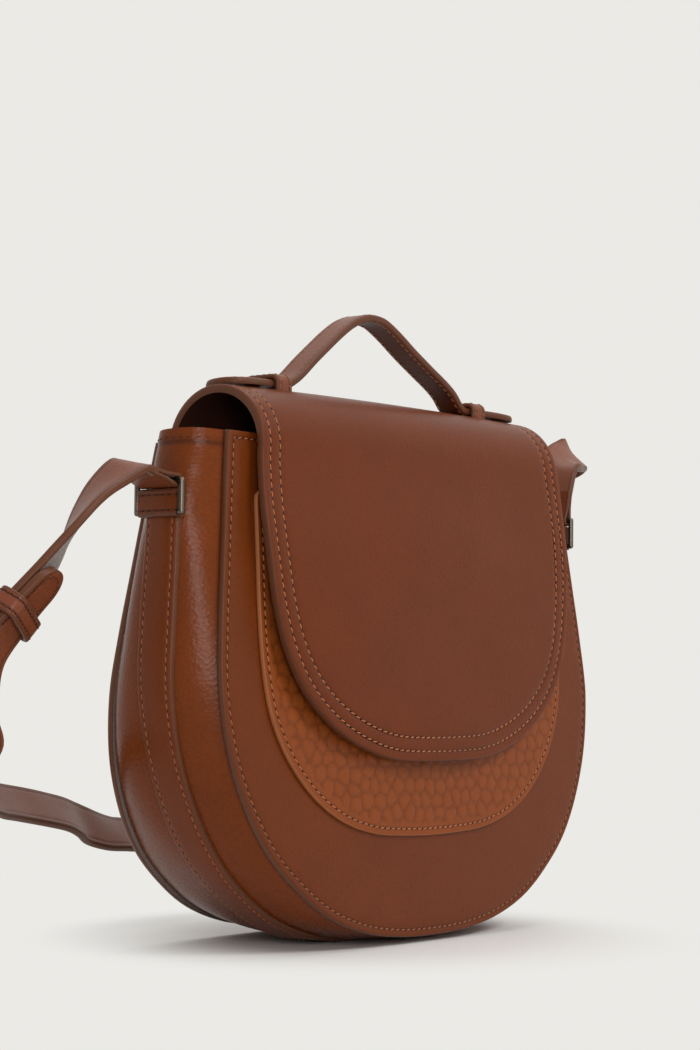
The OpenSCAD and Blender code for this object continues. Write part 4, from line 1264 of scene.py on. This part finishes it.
# %% Profile of the flap
flap_shares = [
    (0, 0), (0.2, 0.003), (0.315, 0.012), (0.435, 0.035), (0.57, 0.077), (0.7, 0.14), (0.818, 0.231),
    (0.904, 0.35), (0.952, 0.482), (0.978, 0.62), (0.993, 0.776), (0.985, 0.94), (0.975, 1),
]
flap_half, flap_low, flap_thick, strip_high = 91.0, 64.0, 3.0, 27.0
stand_top, stand_low = 1.0, 2.9
flap_lift = pocket_thick + 0.3 + flap_thick
arch_front = face_out_at(-1, fold_at) + (flap_lift + stand_top) / math.cos(lean)
rear_seam = fold_at - strip_high + 6
arch_back = face_out_at(1, rear_seam) + flap_thick / math.cos(back_lean)
arch_mid, arch_wide = ((arch_back - arch_front) / 2, fold_at), (arch_back + arch_front) / 2
arch_tall = arch_wide - stand_top / 2
bottom_at = flap_low / math.cos(lean)


def flap_profile():
    """Outer line of the flap in depth and height, from the lowest point over the arch to the rear."""
    along = np.arange(bottom_at, (fold_at - flap_lift * math.sin(lean)) / math.cos(lean), 0.5)
    share = np.clip((along[-1] - along) / 38.0, 0, 1)
    lift = flap_lift + stand_top + (stand_low - stand_top) * share * share * (3 - 2 * share)
    face = np.column_stack([-front_foot + along * math.sin(lean) - lift * math.cos(lean),
                            along * math.cos(lean) + lift * math.sin(lean)])
    turn = np.radians(np.arange(180, -1, -1.5))
    arch = np.column_stack([arch_mid[0] + arch_wide * np.cos(turn), arch_mid[1] + arch_tall * np.sin(turn)])
    down = np.arange(0, strip_high, 0.5)
    back = np.column_stack([arch_back + np.maximum(rear_seam - (fold_at - down), 0) * math.tan(back_lean),
                            fold_at - down])
    line = np.vstack([face, arch, back[1:]])
    steps = steps_along(line)
    even = np.arange(0, steps[-1], 0.5)
    line = sampled(line, steps, even)
    weights = np.exp(-((np.arange(-12, 13) * 0.5 / 2.6) ** 2) / 2)
    padded = np.vstack([2 * line[0] - line[12:0:-1], line, 2 * line[-1] - line[-2:-14:-1]])
    soft = np.column_stack([np.convolve(padded[:, k], weights / weights.sum(), "valid") for k in (0, 1)])
    return even, soft


profile_steps, profile = flap_profile()
profile_along = unit(np.gradient(profile, axis=0))
profile_out = np.stack([-profile_along[:, 1], profile_along[:, 0]], -1)
ridge_at = float(profile_steps[profile[:, 1].argmax()])
sheet_end = float(profile_steps[-1])


def ridge_rise(x):
    """Extra height of the ridge: the leather stands a little higher right of the middle than at its ends."""
    return 1.9 - 0.00014 * (x - 30) ** 2


def bend_flap(points):
    """Lays sheet points (across, along, up) on the profile."""
    x, s, up = points[:, 0], points[:, 1], points[:, 2] - flap_thick
    up = up + pillow(x, s + bottom_at) * (s < ridge_at - 15)
    y, z = (np.interp(s, profile_steps, profile[:, k]) for k in (0, 1))
    ny, nz = (np.interp(s, profile_steps, profile_out[:, k]) for k in (0, 1))
    s_over = np.where(s > sheet_end, s - sheet_end, np.where(s < 0, s, 0))
    y = y + s_over * np.where(s > 0, profile_along[-1, 0], profile_along[0, 0])
    z = z + s_over * np.where(s > 0, profile_along[-1, 1], profile_along[0, 1])
    z = z + nz * up
    return np.column_stack([x, y + ny * up, z + ridge_rise(x) * np.clip((z - fold_at) / arch_tall, 0, 1)])


# %% Flap in two halves
face_half = outline(flap_shares, flap_half, flap_low, fold_at)
face_half = upright(face_half[: len(face_half) // 2 + 1]) - [0, bottom_at]
front_right = np.vstack([face_half, [[face_half[-1, 0], ridge_at]]])
front_sheet = np.vstack([front_right, (front_right * [-1, 1])[::-1][:-1]])
arch_half = float(face_half[-1, 0])
end_round = 5
rounded = [(arch_half - end_round + end_round * math.sin(a),
            sheet_end - 0.5 - end_round + end_round * math.cos(a)) for a in np.linspace(math.pi / 2, 0, 7)]
rear_right = np.array([(arch_half, ridge_at)] + rounded)
rear_sheet = np.vstack([rear_right, (rear_right * [-1, 1])[::-1]])
flap_rows = (3.6, 8.5)
flap_faces = [flap_leather, edge_paint, inner_leather]


def soft_face(x, s, depth):
    """Slow unevenness of hanging leather, a fraction of a millimetre."""
    face = np.clip((ridge_at - 40 - s) / 20, 0, 1)
    return face * 0.22 * (np.sin(x / 17 + 1) * np.cos(s / 13) + 0.6 * np.sin(x / 31 - s / 19))


def flap_leather_piece(name, sheet, rise=None):
    """Leather of one half of the flap."""
    part = plate(sheet, flap_thick, 2.2, 0.75, flap_rows, place=bend_flap, joint_at=ridge_at, pull=0.3,
                 rise=rise)
    return sew_up("flap_" + name + "_leather", [part], flap_faces, None)


def flap_stitches(name, sheet):
    """Stitches of one half of the flap."""
    rows = [stitch_row(*plate_row(sheet, inset, flap_thick - 0.22, bend_flap, joint_at=ridge_at))
            for inset in flap_rows]
    return sew("flap_" + name + "_stitches", rows, None, [light_thread, needle_hole_shade])


flap_front = flap_leather_piece("front", front_sheet, soft_face)
flap_rear = flap_leather_piece("rear", rear_sheet)
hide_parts("flap_face", "flap_face_lining", "flap_arch", "flap_arch_lining")
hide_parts("flap_rear_strip")
for piece in (flap_front, flap_stitches("front", front_sheet)):
    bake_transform(piece)
for piece in (flap_rear, flap_stitches("rear", rear_sheet)):
    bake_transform(piece)
print("flap", len(flap_front.data.vertices) + len(flap_rear.data.vertices), "points, ridge at",
      round(float(profile[:, 1].max()), 1), "mm")

# %% [markdown]
# ## Handle
# The handle is one padded strap. It lies on the ridge at both ends, where two loops hold it down, and
# rises between them in an uneven arch, steeper on the left. When it is pressed down, its ends slide out
# through the loops. So the raised part is one strip, the flat tabs outside the loops are two plates,
# and each loop is a narrow strip bent over them.

# %% Raised part of the handle
handle_shares = [
    (-1, 0.04), (-0.94, 0.07), (-0.84, 0.165), (-0.704, 0.34), (-0.567, 0.505), (-0.43, 0.665), (-0.3, 0.795),
    (-0.18, 0.875), (-0.08, 0.9), (0.04, 0.885), (0.13, 0.835), (0.26, 0.73), (0.402, 0.6), (0.589, 0.445),
    (0.777, 0.295), (0.88, 0.19), (0.95, 0.08), (1, 0.04),
]
handle_wide, handle_thick, handle_rise, loop_x, loop_long = 12.0, 2.8, 34.0, 55.0, 9.0
handle_y = 3.0
handle_low = arch_mid[1] + arch_tall + 0.3
top_line = [(s[0] * (loop_x - 0.3), handle_low + handle_thick - 0.04 * handle_rise + s[1] * handle_rise)
            for s in handle_shares]
top_line = [(-loop_x - 4, top_line[0][1])] + top_line + [(loop_x + 4, top_line[-1][1])]
top_line = grow(top_line, 5)
top_line[:, 1] += ridge_rise(top_line[:, 0])
handle_mid = np.column_stack([top_line[:, 0], np.full(len(top_line), handle_y), top_line[:, 1]])
for wide_y in (-1.0, 1.0):
    _, handle_across, handle_out = directions(handle_mid, np.tile([0.0, wide_y, 0.0], (len(handle_mid), 1)))
    if handle_out[len(handle_out) // 2][2] > 0:
        break
handle_mid = handle_mid - handle_out * handle_thick / 2
handle_section = strip_section(handle_wide - 0.8, handle_thick, crease=1.9, depth=0.14, corner=1.0, columns=8)
# The strip's underside takes the darker copy of the handle leather, which is painted shade.
handle_arch = sew_up("handle_arch", [strip(handle_mid, handle_across, handle_out, handle_section)],
                     [handle_leather, edge_paint, handle_under], None)
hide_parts("handle_crown", "handle_leg_left", "handle_leg_right")
rows = [stitch_row(handle_mid + handle_across * a + handle_out * up, handle_out * s)
        for a in (-4.0, 4.0) for s, up in ((1, handle_thick / 2 - 0.15), (-1, -handle_thick / 2))]
handle_stitches = sew("handle_stitches", rows, None)
for piece in (handle_arch, handle_stitches):
    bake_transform(piece)

# %% Tabs at the handle's ends
tab_shares = [(0.42, 0.79), (0.56, 0.9), (0.7, 0.98), (0.82, 1), (0.91, 0.92), (0.97, 0.66), (1, 0.3)]
tab_inner, tab_tip, tab_half, tab_thick, tab_row = loop_x + 0.3, 85.0, 8.0, 2.4, 2.0


def tab_outline(side):
    """Outline of a flat tab: straight out of the loop, then wider, then round."""
    far = [(tab_inner, handle_wide / 2), (loop_x + loop_long + 0.3, handle_wide / 2)]
    far += [(tab_inner + s[0] * (tab_tip - tab_inner), s[1] * tab_half) for s in tab_shares]
    far = grow(far + [(tab_tip + 0.15, 0.0)], 4)
    line = np.vstack([far, (far * [1, -1])[::-1][1:]])
    return line * [side, 1]


def arch_skin(y):
    """Height of the outside of the arch at a depth."""
    return arch_mid[1] + arch_tall * np.sqrt(1 - ((y - arch_mid[0]) / arch_wide) ** 2)


def on_ridge(points):
    """Lays a tab on the ridge: it bows a little along its length and follows the arch across it."""
    x, y, up = points[:, 0], points[:, 1] + handle_y, points[:, 2]
    share = np.clip((np.abs(x) - tab_inner) / (tab_tip - tab_inner), 0, 1)
    bow = 0.4 * np.sin(share * math.pi) + 0.4 * (1 - share) + ridge_rise(x)
    drop = (arch_mid[1] + arch_tall - arch_skin(y)) * np.clip(share / 0.4, 0, 1) * 0.4
    return np.column_stack([x, y, arch_mid[1] + arch_tall + 0.15 + up + bow - drop])


for side, name in both_sides:
    tab_line = tab_outline(side)
    part = plate(tab_line, tab_thick, 1.6, 0.8, [tab_row], place=on_ridge)
    tab = sew_up("handle_tab_leather_" + name, [part], [handle_leather, edge_paint, handle_leather],
                 "handle_tab_" + name)
    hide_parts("handle_tab_" + name)
    row = plate_row(tab_line, tab_row, tab_thick - 0.18, on_ridge)
    sew("handle_tab_stitches_" + name, [stitch_row(*row, closed=True)], "handle_tab_" + name)

# %% Loops over the handle
loop_at = {-1: -(loop_x + loop_long / 2 - 1.5), 1: loop_x + loop_long / 2}


def handle_loop(side):
    """Strip bent over the handle, with its two stitch rows."""
    gap, loop_thick, r = 0.3, 1.8, 2.2
    half = handle_wide / 2 + gap + loop_thick / 2
    high = handle_low + handle_thick + gap + loop_thick / 2
    feet = [float(arch_skin(y + handle_y)) - 0.5 for y in (-half, half)]
    flat = [(-half, feet[0]), (-half, high - r)]
    flat += [(-half + r - r * math.cos(a), high - r + r * math.sin(a)) for a in np.linspace(0.2, 1.57, 6)]
    flat += [(half - r + r * math.sin(a), high - r + r * math.cos(a)) for a in np.linspace(0, 1.4, 6)]
    flat += [(half, high - r), (half, feet[1])]
    flat = spaced(np.array(flat), 1.2, closed=False) + [handle_y, ridge_rise(loop_at[side])]
    centres = np.column_stack([np.full(len(flat), loop_at[side]), flat])
    section = strip_section(loop_long - 0.8, loop_thick, crease=1.9, depth=0.12, corner=0.8)
    return sewn_strip(centres, [1.0, 0.0, 0.0], section, [0, 0, 1], 0.85, (-2.6, 2.6), 2.8)


for side, name in both_sides:
    part, rows = handle_loop(side)
    loop = sew_up("handle_loop_leather_" + name, [part], [handle_leather, edge_paint, inner_leather],
                  "flap_top")
    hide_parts("handle_loop_" + name)
    sew("handle_loop_stitches_" + name, rows, "flap_top")
print("handle top at", round(float(handle_mid[:, 2].max()) + handle_thick / 2, 1), "mm")

# %% [markdown]
# ## Lining
# The inside is a separate bag of dark cotton drill, sewn from two flat sides and a strip like the
# gusset. It is stitched in only at the top, so it hangs a little loose and never quite flat.

# %% Lining
lining_line = outline(panel_shares, body_half - 6, panel_low + 6, top_edge - 0.4)


def slack_cloth(x, along):
    """Slow unevenness of cloth that hangs a little loose."""
    return 0.35 * (np.sin(x / 9 + along / 21) * np.sin(along / 13) + 0.5 * np.sin(x / 5))


parts = []
for side in (-1, 1):
    cut = upright(lining_line, side)

    def inward(points, side=side, cut=cut):
        """Lays the cloth inside the boards, its good side towards the middle of the bag."""
        tilt, foot = tilt_of(side)
        x, along = points[:, 0], points[:, 1]
        loose = np.abs(slack_cloth(x, along)) * np.clip((edge_distance(points[:, :2], cut) - 2) / 8, 0, 1)
        up = -panel_thick - 1.05 - points[:, 2] - loose
        y = -foot + along * math.sin(tilt) - up * math.cos(tilt)
        return np.column_stack([x * side, -side * y, along * math.cos(tilt) + up * math.sin(tilt)])
    parts.append(plate(cut, 0.7, 4.0, 0.2, place=inward))
lining_v = (half_in(gusset_line[:, 1]) - 2.15) / half_in(gusset_line[:, 1])
lining_v = lining_v[:, None] * np.linspace(-1, 1, 15)[None, :]
every = np.unique(np.append(np.arange(0, len(gusset_line), 2), len(gusset_line) - 1))
inner_side, places = on_gusset(every, lining_v[every], -gusset_thick - 1.25, smooth=True)
outer_side, _ = on_gusset(every, lining_v[every], -gusset_thick - 0.55, smooth=True)
inner_side[..., 2] = np.maximum(inner_side[..., 2], 3.0)
outer_side[..., 2] = np.maximum(outer_side[..., 2], 2.4)
parts.append(slab(outer_side, inner_side, places))
lining = sew_up("lining_bag", parts, [cotton, cotton, cotton], "bag")
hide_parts("lining_front", "lining_back", "lining_gusset")
print("lining", len(lining.data.vertices), "points")
